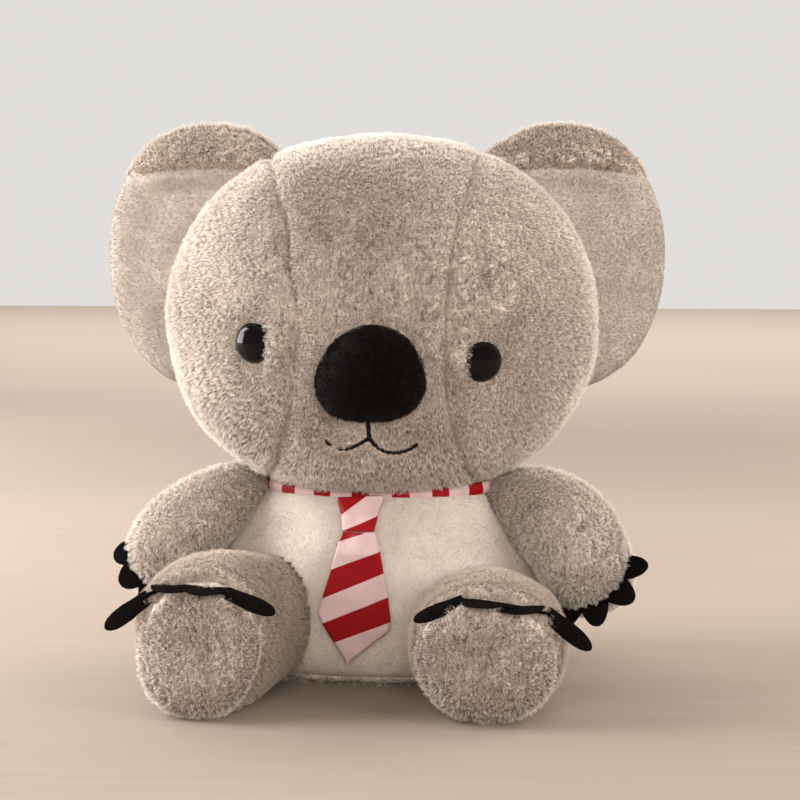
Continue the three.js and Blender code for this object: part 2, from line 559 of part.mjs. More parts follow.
const armParts = {
  arm_front_panel: [armSkin.intersect(half(-1)), GREY],
  arm_back_panel: [armSkin.intersect(half(1)), GREY],
  arm_stuffing: [solidOf(armShape(-FILL_IN, 10)), FILL],
  arm_claws: [armClaws, BLACK],
};
for (const [side, flip] of [['l', false], ['r', true]]) {
  const arm = new THREE.Group();
  koala.add(arm);
  for (const [name, [solid, color]] of Object.entries(armParts)) {
    arm.add(mesh(`${name}_${side}`, flip ? mirrored(solid) : solid, material(color, 0.95)));
  }
}

// ---- legs: upper and sole over stuffing, felt claws in the seam above the sole
function indexed(g) { g.deleteAttribute('normal'); g.deleteAttribute('uv'); return mergeVertices(g, 1e-4); }
const soleCut = (sign) => {
  // the seam plane: high on the front of the foot, further back under it
  const top = new THREE.Vector3(101.5, -209, 109), low = new THREE.Vector3(101.5, -184, 0);
  const dir = new THREE.Vector3().subVectors(top, low).normalize();
  const side = new THREE.Vector3(1, 0, 0);
  const n = new THREE.Vector3().crossVectors(side, dir).normalize();      // towards the sole
  if (n.y > 0) n.negate();
  const q = new THREE.Quaternion().setFromRotationMatrix(new THREE.Matrix4().makeBasis(side, dir, new THREE.Vector3().crossVectors(side, dir)));
  const c = top.clone().addScaledVector(n, sign * (150 + SEAM / 2));
  return boxAt([500, 500, 300], c.toArray(), q);
};
const legSkin = solidOf(legShape(0)).subtract(solidOf(legShape(-CLOTH)));
// plan distance from the foot's middle to its side, seam height, towards this angle
const FOOT_MID = 112;                     // along the leg from the hip
const seamHeight = (u) => 109 - 0.0055 * u * u;
const footEdge = (deg) => {
  let best = null;
  for (let s = 60; s < 163; s += 0.5) {
    let j = 0;
    while (j < LEG.length - 2 && LEG[j + 1][0] <= s) j++;
    const k = (s - LEG[j][0]) / (LEG[j + 1][0] - LEG[j][0]);
    const [w, h, c] = [1, 2, 3].map((m) => LEG[j][m] + (LEG[j + 1][m] - LEG[j][m]) * k);
    for (const sign of [-1, 1]) {
      const up = Math.abs(seamHeight(sign * w * 0.8) - c) / h;
      if (up >= 1) continue;
      const u = sign * w * Math.pow(1 - up ** 2.12, 1 / 2.12), v = s - FOOT_MID;
      const miss = Math.abs(Math.atan2(u, v) * 180 / Math.PI - deg);
      if (!best || miss < best.miss) best = { miss, r: Math.hypot(u, v) };
    }
  }
  return best.r;
};
const footClaws = (() => {
  // each claw: angle of its root, the way it points (0 is forward, + outward), length, half width
  const petals = [[-33, -62, 33, 6.8], [-8, -10, 20, 12], [27, 20, 20, 12], [62, 66, 32, 7.6]];
  const on = (deg, out) => { const a = deg * Math.PI / 180, r = footEdge(deg) + out; return [Math.sin(a) * r, Math.cos(a) * r]; };
  const sideways = new THREE.Vector3(-LEG_DIR.y, LEG_DIR.x, 0);
  const felt = (outline) => {
    const g = new THREE.ExtrudeGeometry(new THREE.Shape(outline.map(([u, v]) => new THREE.Vector2(u, v))), { depth: 2.6, bevelEnabled: false });
    const p = g.attributes.position;
    for (let i = 0; i < p.count; i++) {
      const u = p.getX(i), v = p.getY(i), w = p.getZ(i);
      const out = Math.max(0, Math.hypot(u, v) - footEdge(Math.atan2(u, v) * 180 / Math.PI));
      const at = HIP.clone().addScaledVector(LEG_DIR, FOOT_MID + v).addScaledVector(sideways, u);
      p.setXYZ(i, at.x, at.y, seamHeight(Math.sign(u) * Math.min(Math.abs(u), 52)) - 0.24 * out - w);
    }
    return solidOf(orient(indexed(g)));
  };
  const arc = [-43, -20, 5, 30, 54, 76];
  let all = felt([...arc.map((d) => on(d, 4)), ...arc.reverse().map((d) => on(d, -5))]);
  for (const [root, point, len, w] of petals) {
    const [u, v] = on(root, -1);
    const a = point * Math.PI / 180, du = Math.sin(a), dv = Math.cos(a);
    const q = (side, out) => [u + dv * side * w + du * len * out, v - du * side * w + dv * len * out];
    all = all.add(felt([q(-0.8, 0), q(-1, 0.45), q(-0.66, 0.86), q(-0.2, 1), q(0.2, 1), q(0.66, 0.86), q(1, 0.45), q(0.8, 0)]));
  }
  const parts = all.subtract(solidOf(legShape(0.4))).decompose().sort((x, y) => y.volume() - x.volume());
  return parts[0];
})();
const legParts = {
  leg_upper_panel: [legSkin.intersect(soleCut(-1)), GREY],
  foot_sole_panel: [legSkin.intersect(soleCut(1)), GREY_DARK],
  leg_stuffing: [solidOf(legShape(-FILL_IN, 12)), FILL],
  foot_claws: [footClaws, BLACK],
};
for (const [side, flip] of [['l', false], ['r', true]]) {
  const leg = new THREE.Group();
  koala.add(leg);
  for (const [name, [solid, color]] of Object.entries(legParts)) {
    const own = lowered(solid, LEG_LOW[side]);
    leg.add(mesh(`${name}_${side}`, flip ? rightLeg(own) : own, material(color, 0.95)));
  }
}

export default koala;
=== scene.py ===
# Seated plush koala: the look of every sewn, stuffed, cut and moulded piece.
# Shape code works in millimetres; every object is in metres, in the frame of the solids.
import bpy
import math
import numpy as np
from mathutils import Matrix, Vector


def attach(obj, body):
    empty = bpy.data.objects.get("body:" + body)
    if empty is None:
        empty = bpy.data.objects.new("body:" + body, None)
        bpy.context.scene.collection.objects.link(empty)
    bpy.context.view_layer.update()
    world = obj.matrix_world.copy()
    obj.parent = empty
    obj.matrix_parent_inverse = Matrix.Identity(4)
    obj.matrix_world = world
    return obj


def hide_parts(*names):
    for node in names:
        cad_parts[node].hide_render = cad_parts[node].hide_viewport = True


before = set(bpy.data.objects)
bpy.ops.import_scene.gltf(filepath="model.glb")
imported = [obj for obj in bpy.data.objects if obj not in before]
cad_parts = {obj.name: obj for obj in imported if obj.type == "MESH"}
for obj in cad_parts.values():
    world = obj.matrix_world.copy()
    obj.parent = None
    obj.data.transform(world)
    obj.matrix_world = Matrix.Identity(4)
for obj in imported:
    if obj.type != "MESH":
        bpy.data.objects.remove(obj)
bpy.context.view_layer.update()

MM = 0.001

# ------------------------------------------------------------------ camera

cam_data = bpy.data.cameras.new("camera")
cam_data.sensor_width = 36.0
cam_data.lens = 36.0 * 2146.0 / 800.0
cam_data.clip_start, cam_data.clip_end = 0.05, 50.0
camera = bpy.data.objects.new("camera", cam_data)
bpy.context.scene.collection.objects.link(camera)
camera.location = (0.18606, -1.77025, 0.386)
camera.rotation_mode = "QUATERNION"
camera.rotation_quaternion = Vector((-0.09670, 0.99102, -0.09237)).to_track_quat("-Z", "Y")
bpy.context.scene.camera = camera

# ------------------------------------------------------------------- noise


def hashed(i, j, k, seed):
    n = (i.astype(np.uint64) * np.uint64(73856093)) ^ (j.astype(np.uint64) * np.uint64(19349663))
    n ^= (k.astype(np.uint64) * np.uint64(83492791)) ^ np.uint64((seed * 2654435761) & 0xFFFFFFFF)
    n &= np.uint64(0xFFFFFFFF)
    n = ((n ^ (n >> np.uint64(15))) * np.uint64(2246822519)) & np.uint64(0xFFFFFFFF)
    n = ((n ^ (n >> np.uint64(13))) * np.uint64(3266489917)) & np.uint64(0xFFFFFFFF)
    n ^= n >> np.uint64(16)
    return n.astype(float) / 4294967296.0


def vnoise(p, seed=0):
    f = np.floor(p)
    u = p - f
    u = u * u * (3 - 2 * u)
    i = f.astype(np.int64)
    out = np.zeros(len(p))
    for a in (0, 1):
        wa = u[:, 0] if a else 1 - u[:, 0]
        for b in (0, 1):
            wb = wa * (u[:, 1] if b else 1 - u[:, 1])
            for c in (0, 1):
                out += wb * (u[:, 2] if c else 1 - u[:, 2]) * hashed(i[:, 0] + a, i[:, 1] + b, i[:, 2] + c, seed)
    return out * 2 - 1


def fbm(p, octaves=3, seed=0, gain=0.5):
    total, amp, norm = np.zeros(len(p)), 1.0, 0.0
    for o in range(octaves):
        total += amp * vnoise(p * 2.0 ** o + 17.31 * o, seed + o)
        norm += amp
        amp *= gain
    return total / norm


def tufts(p, seed=0):
    """Distance to the nearest of a field of jittered points, one to a unit cell, and to the next."""
    base = np.floor(p)
    one = np.full(len(p), 9.0)
    two = np.full(len(p), 9.0)
    for a in (-1, 0, 1):
        for b in (-1, 0, 1):
            for c in (-1, 0, 1):
                q = base + (a, b, c)
                i = q.astype(np.int64)
                at = q + np.stack([hashed(i[:, 0], i[:, 1], i[:, 2], seed + s) for s in (11, 23, 37)], 1)
                d = np.linalg.norm(p - at, axis=1)
                two = np.minimum(two, np.maximum(one, d))
                one = np.minimum(one, d)
    return one, two


def smooth(x, lo, hi):
    t = np.clip((x - lo) / (hi - lo), 0, 1)
    return t * t * (3 - 2 * t)


def bell(d, width):
    return np.exp(-(d / width) ** 2)


def pchip(x, y, q):
    """A curve through the points that never overshoots them."""
    x, y, q = np.asarray(x, float), np.asarray(y, float), np.asarray(q, float)
    h, s = np.diff(x), None
    s = (np.diff(y, axis=0).T / h).T
    d = np.zeros_like(y)
    flat = y.reshape(len(x), -1)
    sl = s.reshape(len(h), -1)
    dd = np.zeros_like(flat)
    for i in range(1, len(x) - 1):
        w1, w2 = 2 * h[i] + h[i - 1], h[i] + 2 * h[i - 1]
        a, b = sl[i - 1], sl[i]
        ok = a * b > 0
        dd[i][ok] = (w1 + w2) / (w1 / a[ok] + w2 / b[ok])
    dd[0], dd[-1] = sl[0], sl[-1]
    d = dd.reshape(y.shape)
    k = np.clip(np.searchsorted(x, q, side="right") - 1, 0, len(x) - 2)
    t = (q - x[k]) / h[k]
    if y.ndim > 1:
        t = t[:, None]
        hk = h[k][:, None]
    else:
        hk = h[k]
    a, b = y[k], y[k + 1]
    return (a * (1 + 2 * t) * (1 - t) ** 2 + d[k] * hk * t * (1 - t) ** 2
            + b * t * t * (3 - 2 * t) + d[k + 1] * hk * t * t * (t - 1))


def along_chord(table, count, scale=None):
    """The rows of a table resampled at even steps of the length along them."""
    table = np.asarray(table, float)
    w = table if scale is None else table * np.asarray(scale, float)
    at = np.concatenate([[0], np.cumsum(np.linalg.norm(np.diff(w, axis=0), axis=1))])
    fine = pchip(at, table, np.linspace(0, at[-1], 800))
    wf = fine if scale is None else fine * np.asarray(scale, float)
    run = np.concatenate([[0], np.cumsum(np.linalg.norm(np.diff(wf, axis=0), axis=1))])
    want = np.linspace(0, run[-1], count)
    return np.stack([np.interp(want, run, fine[:, k]) for k in range(table.shape[1])], 1)


def line_distance(px, pz, line):
    """Distance in the x-z plane from points to an open line."""
    best = np.full(len(px), 1e9)
    for (x1, z1), (x2, z2) in zip(line[:-1], line[1:]):
        ex, ez = x2 - x1, z2 - z1
        t = np.clip(((px - x1) * ex + (pz - z1) * ez) / (ex * ex + ez * ez), 0, 1)
        best = np.minimum(best, np.hypot(px - x1 - t * ex, pz - z1 - t * ez))
    return best


# ------------------------------------------------------------------ meshes


def normals(v, faces):
    n = np.zeros_like(v)
    for f in faces:
        if not len(f):
            continue
        if f.shape[1] == 4:
            c = np.cross(v[f[:, 2]] - v[f[:, 0]], v[f[:, 3]] - v[f[:, 1]])
        else:
            c = np.cross(v[f[:, 1]] - v[f[:, 0]], v[f[:, 2]] - v[f[:, 0]])
        for k in range(f.shape[1]):
            for a in range(3):
                n[:, a] += np.bincount(f[:, k], weights=c[:, a], minlength=len(v))
    return n / np.maximum(np.linalg.norm(n, axis=1), 1e-12)[:, None]


def outward(v, faces):
    """Turns a closed body's faces so that their normals point out."""
    vol = 0.0
    for f in faces:
        if len(f):
            a, b, c = v[f[:, 0]], v[f[:, 1]], v[f[:, 2]]
            vol += np.einsum("ij,ij->i", a, np.cross(b, c)).sum()
            if f.shape[1] == 4:
                vol += np.einsum("ij,ij->i", a, np.cross(c, v[f[:, 3]])).sum()
    return [f[:, ::-1] for f in faces] if vol < 0 else faces


def put_mesh(name, v, faces):
    """An object from millimetre vertices and lists of four- and three-sided faces."""
    me = bpy.data.meshes.new(name)
    me.vertices.add(len(v))
    me.vertices.foreach_set("co", (np.asarray(v, float) * MM).astype(np.float32).ravel())
    faces = [f for f in faces if len(f)]
    flat = np.concatenate([f.ravel() for f in faces]).astype(np.int32)
    sizes = np.concatenate([np.full(len(f), f.shape[1]) for f in faces])
    me.loops.add(len(flat))
    me.loops.foreach_set("vertex_index", flat)
    me.polygons.add(len(sizes))
    me.polygons.foreach_set("loop_start", np.concatenate([[0], np.cumsum(sizes)[:-1]]).astype(np.int32))
    me.update(calc_edges=True)
    me.validate()
    me.polygons.foreach_set("use_smooth", [True] * len(me.polygons))
    ob = bpy.data.objects.new(name, me)
    bpy.context.scene.collection.objects.link(ob)
    return ob


def used_only(v, faces, *extra):
    keep = np.unique(np.concatenate([f.ravel() for f in faces if len(f)]))
    back = np.full(len(v), -1)
    back[keep] = np.arange(len(keep))
    return [v[keep], [back[f] for f in faces if len(f)]] + [e[keep] for e in extra]


def rim_edges(faces):
    """The directed edges of an open surface that no other face shares."""
    e = np.concatenate([np.stack([f[:, c], f[:, (c + 1) % f.shape[1]]], 1) for f in faces if len(f) for c in range(f.shape[1])])
    big = e.max() + 1
    key, rev = e[:, 0] * big + e[:, 1], e[:, 1] * big + e[:, 0]
    return e[~np.isin(key, rev)]


def cloth_shell(v, n, faces, thick):
    """A sewn panel: the outer face, an inner one and the turned edge between."""
    inner = v - n * thick
    rims = rim_edges(faces)
    count = len(v)
    quads = [f for f in faces if f.shape[1] == 4]
    tris = [f for f in faces if f.shape[1] == 3]
    wall = np.stack([rims[:, 1], rims[:, 0], rims[:, 0] + count, rims[:, 1] + count], 1) if len(rims) else np.zeros((0, 4), int)
    quads = quads + [f[:, ::-1] + count for f in quads] + [wall]
    tris = tris + [f[:, ::-1] + count for f in tris]
    return np.concatenate([v, inner]), quads + tris


def loft(rings, first=None, last=None):
    """Closed rings joined in order, with a point at either end."""
    r, n = rings.shape[:2]
    v = rings.reshape(-1, 3)
    i, j = np.meshgrid(np.arange(r - 1), np.arange(n), indexing="ij")
    k = (j + 1) % n
    quads = np.stack([i * n + j, i * n + k, (i + 1) * n + k, (i + 1) * n + j], -1).reshape(-1, 4)
    tris, ring = [], np.arange(n)
    if first is not None:
        v = np.concatenate([v, [first]])
        tris.append(np.stack([np.full(n, len(v) - 1), (ring + 1) % n, ring], 1))
    if last is not None:
        v = np.concatenate([v, [last]])
        tris.append(np.stack([np.full(n, len(v) - 1), (r - 1) * n + ring, (r - 1) * n + (ring + 1) % n], 1))
    return v, outward(v, [quads] + tris)


def cube_ball(n):
    """Even four-sided faces over a unit ball."""
    t = np.tan(np.linspace(-math.pi / 4, math.pi / 4, n + 1))
    a, b = np.meshgrid(t, t, indexing="ij")
    sheets, quads, start = [], [], 0
    i, j = np.meshgrid(np.arange(n), np.arange(n), indexing="ij")
    q = np.stack([i * (n + 1) + j, (i + 1) * (n + 1) + j, (i + 1) * (n + 1) + j + 1, i * (n + 1) + j + 1], -1).reshape(-1, 4)
    for axis in range(3):
        for sign in (-1, 1):
            p = np.zeros((n + 1, n + 1, 3))
            p[..., axis] = sign
            p[..., (axis + 1) % 3] = a
            p[..., (axis + 2) % 3] = b
            sheets.append(p.reshape(-1, 3))
            quads.append((q if sign > 0 else q[:, ::-1]) + start)
            start += (n + 1) ** 2
    v = np.concatenate(sheets)
    v /= np.linalg.norm(v, axis=1)[:, None]
    _, first, back = np.unique(np.round(v, 6), axis=0, return_index=True, return_inverse=True)
    return v[first], [back.ravel()[np.concatenate(quads)]]


# --------------------------------------------------------------- materials


def node(tree, kind, at=(0, 0), **inputs):
    n = tree.nodes.new(kind)
    n.location = at
    for key, value in inputs.items():
        n.inputs[key.replace("_", " ")].default_value = value
    return n


def srgb(r, g, b):
    def lin(c):
        c /= 255.0
        return c / 12.92 if c <= 0.04045 else ((c + 0.055) / 1.055) ** 2.4
    return (lin(r), lin(g), lin(b), 1.0)


def new_material(name):
    m = bpy.data.materials.new(name)
    m.use_nodes = True
    m.node_tree.nodes.clear()
    out = m.node_tree.nodes.new("ShaderNodeOutputMaterial")
    out.location = (900, 0)
    return m, m.node_tree, out


def ramp(tree, source, stops, kind="LINEAR"):
    n = tree.nodes.new("ShaderNodeValToRGB")
    n.color_ramp.interpolation = kind
    e = n.color_ramp.elements
    while len(e) < len(stops):
        e.new(0.5)
    for el, (pos, col) in zip(e, stops):
        el.position = pos
        el.color = col
    tree.links.new(source, n.inputs["Fac"])
    return n.outputs["Color"]


def mixed(tree, kind, fac, a, b):
    n = tree.nodes.new("ShaderNodeMix")
    n.data_type = "RGBA"
    n.blend_type = kind
    n.clamp_factor = True
    for socket, value in ((n.inputs[0], fac), (n.inputs[6], a), (n.inputs[7], b)):
        if hasattr(value, "is_output"):
            tree.links.new(value, socket)
        else:
            socket.default_value = value
    return n.outputs[2]


def math_node(tree, op, a, b=None, c=None):
    n = tree.nodes.new("ShaderNodeMath")
    n.operation = op
    for socket, value in zip(n.inputs, (a, b, c)):
        if value is None:
            continue
        if hasattr(value, "is_output"):
            tree.links.new(value, socket)
        else:
            socket.default_value = value
    return n.outputs[0]


def stretched(tree, scale, turn=(0, 0, 0)):
    co = tree.nodes.new("ShaderNodeTexCoord")
    mp = tree.nodes.new("ShaderNodeMapping")
    mp.inputs["Scale"].default_value = scale
    mp.inputs["Rotation"].default_value = turn
    tree.links.new(co.outputs["Object"], mp.inputs["Vector"])
    return mp.outputs["Vector"]


def noise_tex(tree, vector, scale, detail=3.0, rough=0.55, distort=0.0):
    n = tree.nodes.new("ShaderNodeTexNoise")
    n.inputs["Scale"].default_value = scale
    n.inputs["Detail"].default_value = detail
    n.inputs["Roughness"].default_value = rough
    n.inputs["Distortion"].default_value = distort
    tree.links.new(vector, n.inputs["Vector"])
    return n.outputs["Fac"]


def forehead_painted_shade(t, colour):
    """Painted shade: the pile darkened in a ragged patch over the forehead."""
    co = t.nodes.new("ShaderNodeTexCoord")
    at = t.nodes.new("ShaderNodeMapping")
    at.vector_type = "TEXTURE"
    at.inputs["Location"].default_value = (-0.020, -0.10, 0.378)
    at.inputs["Scale"].default_value = (0.094, 0.16, 0.066)
    t.links.new(co.outputs["Object"], at.inputs["Vector"])
    far = t.nodes.new("ShaderNodeVectorMath")
    far.operation = "LENGTH"
    t.links.new(at.outputs["Vector"], far.inputs[0])
    ragged = noise_tex(t, stretched(t, (1, 1, 1)), 34.0, 3.0, 0.6, 0.5)
    reach = math_node(t, "MULTIPLY_ADD", ragged, 0.9, math_node(t, "SUBTRACT", far.outputs["Value"], 0.45))
    shade = ramp(t, reach, [(0.35, (0.80, 0.78, 0.77, 1)), (1.0, (1, 1, 1, 1))], "EASE")
    return mixed(t, "MULTIPLY", 1.0, colour, shade)


def plush_material(name, root, mid, tip, fine=420.0, stretch=(1, 1, 0.45), bump=0.9, depth=0.0012, sheen=0.35, shade_forehead=False):
    """The face of a plush panel: pale pile tips over gaps darkened by painted shade and the pile's darker roots, in
    patches that lie different ways.
    """
    m, t, out = new_material(name)
    bs = t.nodes.new("ShaderNodeBsdfPrincipled")
    bs.inputs["Roughness"].default_value = 0.95
    bs.inputs["Specular IOR Level"].default_value = 0.12
    bs.inputs["Sheen Weight"].default_value = sheen
    bs.inputs["Sheen Roughness"].default_value = 0.5
    bs.inputs["Sheen Tint"].default_value = (1.0, 0.96, 0.92, 1)
    lie = stretched(t, stretch, (0.25, 0.1, 0.2))
    plain = stretched(t, (1, 1, 1))
    strand = noise_tex(t, lie, fine, 4.0, 0.62, 0.6)
    clump = noise_tex(t, lie, fine * 0.22, 3.0, 0.6, 0.8)
    patch = noise_tex(t, plain, 22.0, 3.0, 0.5, 0.4)
    both = math_node(t, "MULTIPLY_ADD", clump, 0.35, math_node(t, "MULTIPLY", strand, 0.65))
    # colour follows the bump's height: painted shade in the low gaps between tufts, over the pile's darker root colour
    col = ramp(t, both, [(0.36, root), (0.46, mid), (0.62, tip)])
    shade = ramp(t, patch, [(0.3, (0.86, 0.85, 0.84, 1)), (0.7, (1.08, 1.08, 1.08, 1))])
    col = mixed(t, "MULTIPLY", 1.0, col, shade)
    # painted shade: a darker patch over the forehead
    if shade_forehead:
        col = forehead_painted_shade(t, col)
    t.links.new(col, bs.inputs["Base Color"])
    bm = t.nodes.new("ShaderNodeBump")
    bm.inputs["Strength"].default_value = bump
    bm.inputs["Distance"].default_value = depth
    t.links.new(both, bm.inputs["Height"])
    t.links.new(bm.outputs["Normal"], bs.inputs["Normal"])
    t.links.new(bs.outputs[0], out.inputs["Surface"])
    return m


def pile_material(name, root, mid, tip, through=0.45, darkest=0.6, shade_forehead=False):
    """The pile itself: dark at the root, pale at the tip, no two fibres quite alike."""
    m, t, out = new_material(name)
    info = t.nodes.new("ShaderNodeHairInfo")
    col = ramp(t, info.outputs["Intercept"], [(0.0, root), (0.45, mid), (0.9, tip)])
    each = ramp(t, info.outputs["Random"], [(0.0, (darkest, darkest * 0.98, darkest * 0.96, 1)), (0.35, (0.4 + 0.6 * darkest ** 0.3,) * 3 + (1,)), (1.0, (1.3 - 0.25 * darkest,) * 3 + (1,))])
    col = mixed(t, "MULTIPLY", 1.0, col, each)
    patch = noise_tex(t, stretched(t, (1, 1, 1)), 22.0, 2.0, 0.5, 0.4)
    shade = ramp(t, patch, [(0.3, (0.9, 0.89, 0.88, 1)), (0.7, (1.06, 1.06, 1.06, 1))])
    col = mixed(t, "MULTIPLY", 1.0, col, shade)
    # painted shade: a darker patch over the forehead
    if shade_forehead:
        col = forehead_painted_shade(t, col)
    bs = t.nodes.new("ShaderNodeBsdfPrincipled")
    bs.inputs["Roughness"].default_value = 0.7
    bs.inputs["Specular IOR Level"].default_value = 0.25
    t.links.new(col, bs.inputs["Base Color"])
    tr = t.nodes.new("ShaderNodeBsdfTranslucent")
    t.links.new(col, tr.inputs["Color"])
    mx = t.nodes.new("ShaderNodeMixShader")
    mx.inputs[0].default_value = through
    t.links.new(bs.outputs[0], mx.inputs[1])
    t.links.new(tr.outputs[0], mx.inputs[2])
    t.links.new(mx.outputs[0], out.inputs["Surface"])
    return m


def simple_material(name, low, high, rough, scale, bump=0.3, depth=0.0004, spec=0.3, sheen=0.0, coat=0.0, stretch=(1, 1, 1), detail=4.0):
    """Felt, fibre, thread or moulded plastic: one colour that varies, with its own grain."""
    m, t, out = new_material(name)
    bs = t.nodes.new("ShaderNodeBsdfPrincipled")
    bs.inputs["Roughness"].default_value = rough
    bs.inputs["Specular IOR Level"].default_value = spec
    bs.inputs["Sheen Weight"].default_value = sheen
    bs.inputs["Sheen Roughness"].default_value = 0.4
    bs.inputs["Coat Weight"].default_value = coat
    bs.inputs["Coat Roughness"].default_value = 0.03
    vec = stretched(t, stretch)
    n1 = noise_tex(t, vec, scale, detail, 0.6, 0.3)
    n2 = noise_tex(t, vec, scale * 0.08, 2.0, 0.5)
    col = ramp(t, n1, [(0.35, low), (0.65, high)])
    shade = ramp(t, n2, [(0.3, (0.9, 0.9, 0.9, 1)), (0.7, (1.1, 1.1, 1.1, 1))])
    t.links.new(mixed(t, "MULTIPLY", 1.0, col, shade), bs.inputs["Base Color"])
    bm = t.nodes.new("ShaderNodeBump")
    bm.inputs["Strength"].default_value = bump
    bm.inputs["Distance"].default_value = depth
    t.links.new(n1, bm.inputs["Height"])
    t.links.new(bm.outputs["Normal"], bs.inputs["Normal"])
    t.links.new(bs.outputs[0], out.inputs["Surface"])
    return m


GREY = dict(root=srgb(96, 83, 74), mid=srgb(205, 191, 178), tip=srgb(254, 248, 240))
DARK = dict(root=srgb(78, 66, 59), mid=srgb(188, 172, 161), tip=srgb(252, 243, 234))
PALE = dict(root=srgb(110, 97, 87), mid=srgb(185, 170, 156), tip=srgb(218, 206, 192))
WHITE = dict(root=srgb(206, 193, 182), mid=srgb(209, 197, 186), tip=srgb(214, 203, 193))
CREAM = dict(root=srgb(168, 156, 146), mid=srgb(183, 172, 162), tip=srgb(191, 180, 171))
EAR = dict(root=srgb(84, 72, 63), mid=srgb(184, 168, 154), tip=srgb(238, 226, 213))
GREY_CLOTH = dict(root=srgb(112, 98, 87), mid=srgb(206, 190, 176), tip=srgb(246, 233, 220))
DARK_CLOTH = dict(root=srgb(92, 79, 70), mid=srgb(186, 169, 157), tip=srgb(238, 222, 210))
PALE_CLOTH = dict(root=srgb(114, 101, 91), mid=srgb(190, 175, 161), tip=srgb(219, 206, 193))
BLACK = dict(root=srgb(3, 2, 2), mid=srgb(9, 6, 5), tip=srgb(17, 12, 10))

mat_grey = plush_material("plush_grey", **GREY_CLOTH)
# the face panels carry painted shade over the forehead
mat_face = plush_material("plush_face", **GREY_CLOTH, shade_forehead=True)
mat_sole = plush_material("plush_sole", **DARK_CLOTH)
mat_pale = plush_material("plush_pale", **PALE_CLOTH)
mat_white = plush_material("plush_white", **WHITE, fine=520, bump=0.35, depth=0.0006, sheen=0.25)
mat_cream = plush_material("plush_cream", **CREAM, fine=520, bump=0.4, depth=0.0006, sheen=0.25)
mat_nose = plush_material("plush_black", **BLACK, fine=900, bump=0.5, depth=0.0004, sheen=0.15)
hair_grey = pile_material("pile_grey", **GREY)
hair_face = pile_material("pile_face", **GREY, shade_forehead=True)
hair_ear = pile_material("pile_ear", **EAR)
hair_sole = pile_material("pile_sole", **DARK)
hair_pale = pile_material("pile_pale", **PALE, darkest=0.76)
hair_white = pile_material("pile_white", **WHITE, through=0.5, darkest=0.98)
hair_cream = pile_material("pile_cream", **CREAM, through=0.5, darkest=0.96)
hair_black = pile_material("pile_black", **BLACK, through=0.0, darkest=0.9)
mat_felt = simple_material("felt_black", srgb(9, 7, 7), srgb(24, 20, 19), 1.0, 900, 0.7, 0.0005, 0.02)
mat_fibre = simple_material("fibre_white", srgb(214, 211, 206), srgb(245, 243, 240), 1.0, 260, 1.0, 0.002, 0.1, sheen=0.3, stretch=(1, 0.3, 1))
mat_eye = simple_material("eye_gloss", srgb(7, 5, 5), srgb(11, 8, 7), 0.07, 60, 0.02, 0.0001, 0.22)
mat_washer = simple_material("washer_moulded", srgb(214, 212, 205), srgb(226, 224, 218), 0.45, 300, 0.15, 0.0002, 0.4)
mat_thread = simple_material("thread_black", srgb(8, 6, 6), srgb(26, 21, 19), 0.75, 1500, 0.6, 0.0004, 0.25, sheen=0.1, stretch=(0.4, 1, 1.6))


def satin_material(name, stripes, red, white, weave=2600.0):
    """Striped satin: a fine slanting weave, a soft gleam, and stripes between the given lines of z over x."""
    m, t, out = new_material(name)
    bs = t.nodes.new("ShaderNodeBsdfPrincipled")
    bs.inputs["Roughness"].default_value = 0.5
    bs.inputs["Specular IOR Level"].default_value = 0.2
    bs.inputs["Anisotropic"].default_value = 0.4
    co = t.nodes.new("ShaderNodeTexCoord")
    sp = t.nodes.new("ShaderNodeSeparateXYZ")
    t.links.new(co.outputs["Object"], sp.inputs[0])
    wobble = noise_tex(t, stretched(t, (1, 1, 1)), 30.0, 2.0)
    height = math_node(t, "MULTIPLY_ADD", wobble, 0.0012, math_node(t, "SUBTRACT", sp.outputs["Z"], 0.0006))
    above = None
    for at, slope_ in stripes:
        over = math_node(t, "GREATER_THAN", math_node(t, "MULTIPLY_ADD", sp.outputs["X"], -slope_, height), at)
        above = over if above is None else math_node(t, "ADD", above, over)
    col = mixed(t, "MIX", math_node(t, "MODULO", above, 2.0), white, red)
    wave = t.nodes.new("ShaderNodeTexWave")
    wave.inputs["Scale"].default_value = weave / 20.0
    wave.inputs["Distortion"].default_value = 0.6
    wave.inputs["Detail"].default_value = 1.0
    t.links.new(stretched(t, (1, 0.2, 1), (0, 0.5, 0)), wave.inputs["Vector"])
    fleck = ramp(t, noise_tex(t, stretched(t, (1, 1, 1)), 60.0, 3.0), [(0.3, (0.86, 0.86, 0.86, 1)), (0.7, (1.05, 1.05, 1.05, 1))])
    col = mixed(t, "MULTIPLY", 1.0, col, fleck)
    t.links.new(col, bs.inputs["Base Color"])
    bm = t.nodes.new("ShaderNodeBump")
    bm.inputs["Strength"].default_value = 0.12
    bm.inputs["Distance"].default_value = 0.0002
    t.links.new(wave.outputs["Fac"], bm.inputs["Height"])
    t.links.new(bm.outputs["Normal"], bs.inputs["Normal"])
    t.links.new(bs.outputs[0], out.inputs["Surface"])
    return m


RED, RIB_WHITE = srgb(139, 9, 16), srgb(203, 173, 170)

# --------------------------------------------------------------------- pile


def weights(ob, name, w):
    g = ob.vertex_groups.new(name=name)
    level = np.round(np.clip(w, 0, 1) * 20).astype(int)
    for k in range(1, 21):
        at = np.flatnonzero(level == k)
        if len(at):
            g.add(at.tolist(), k / 20.0, "REPLACE")
    return g.name


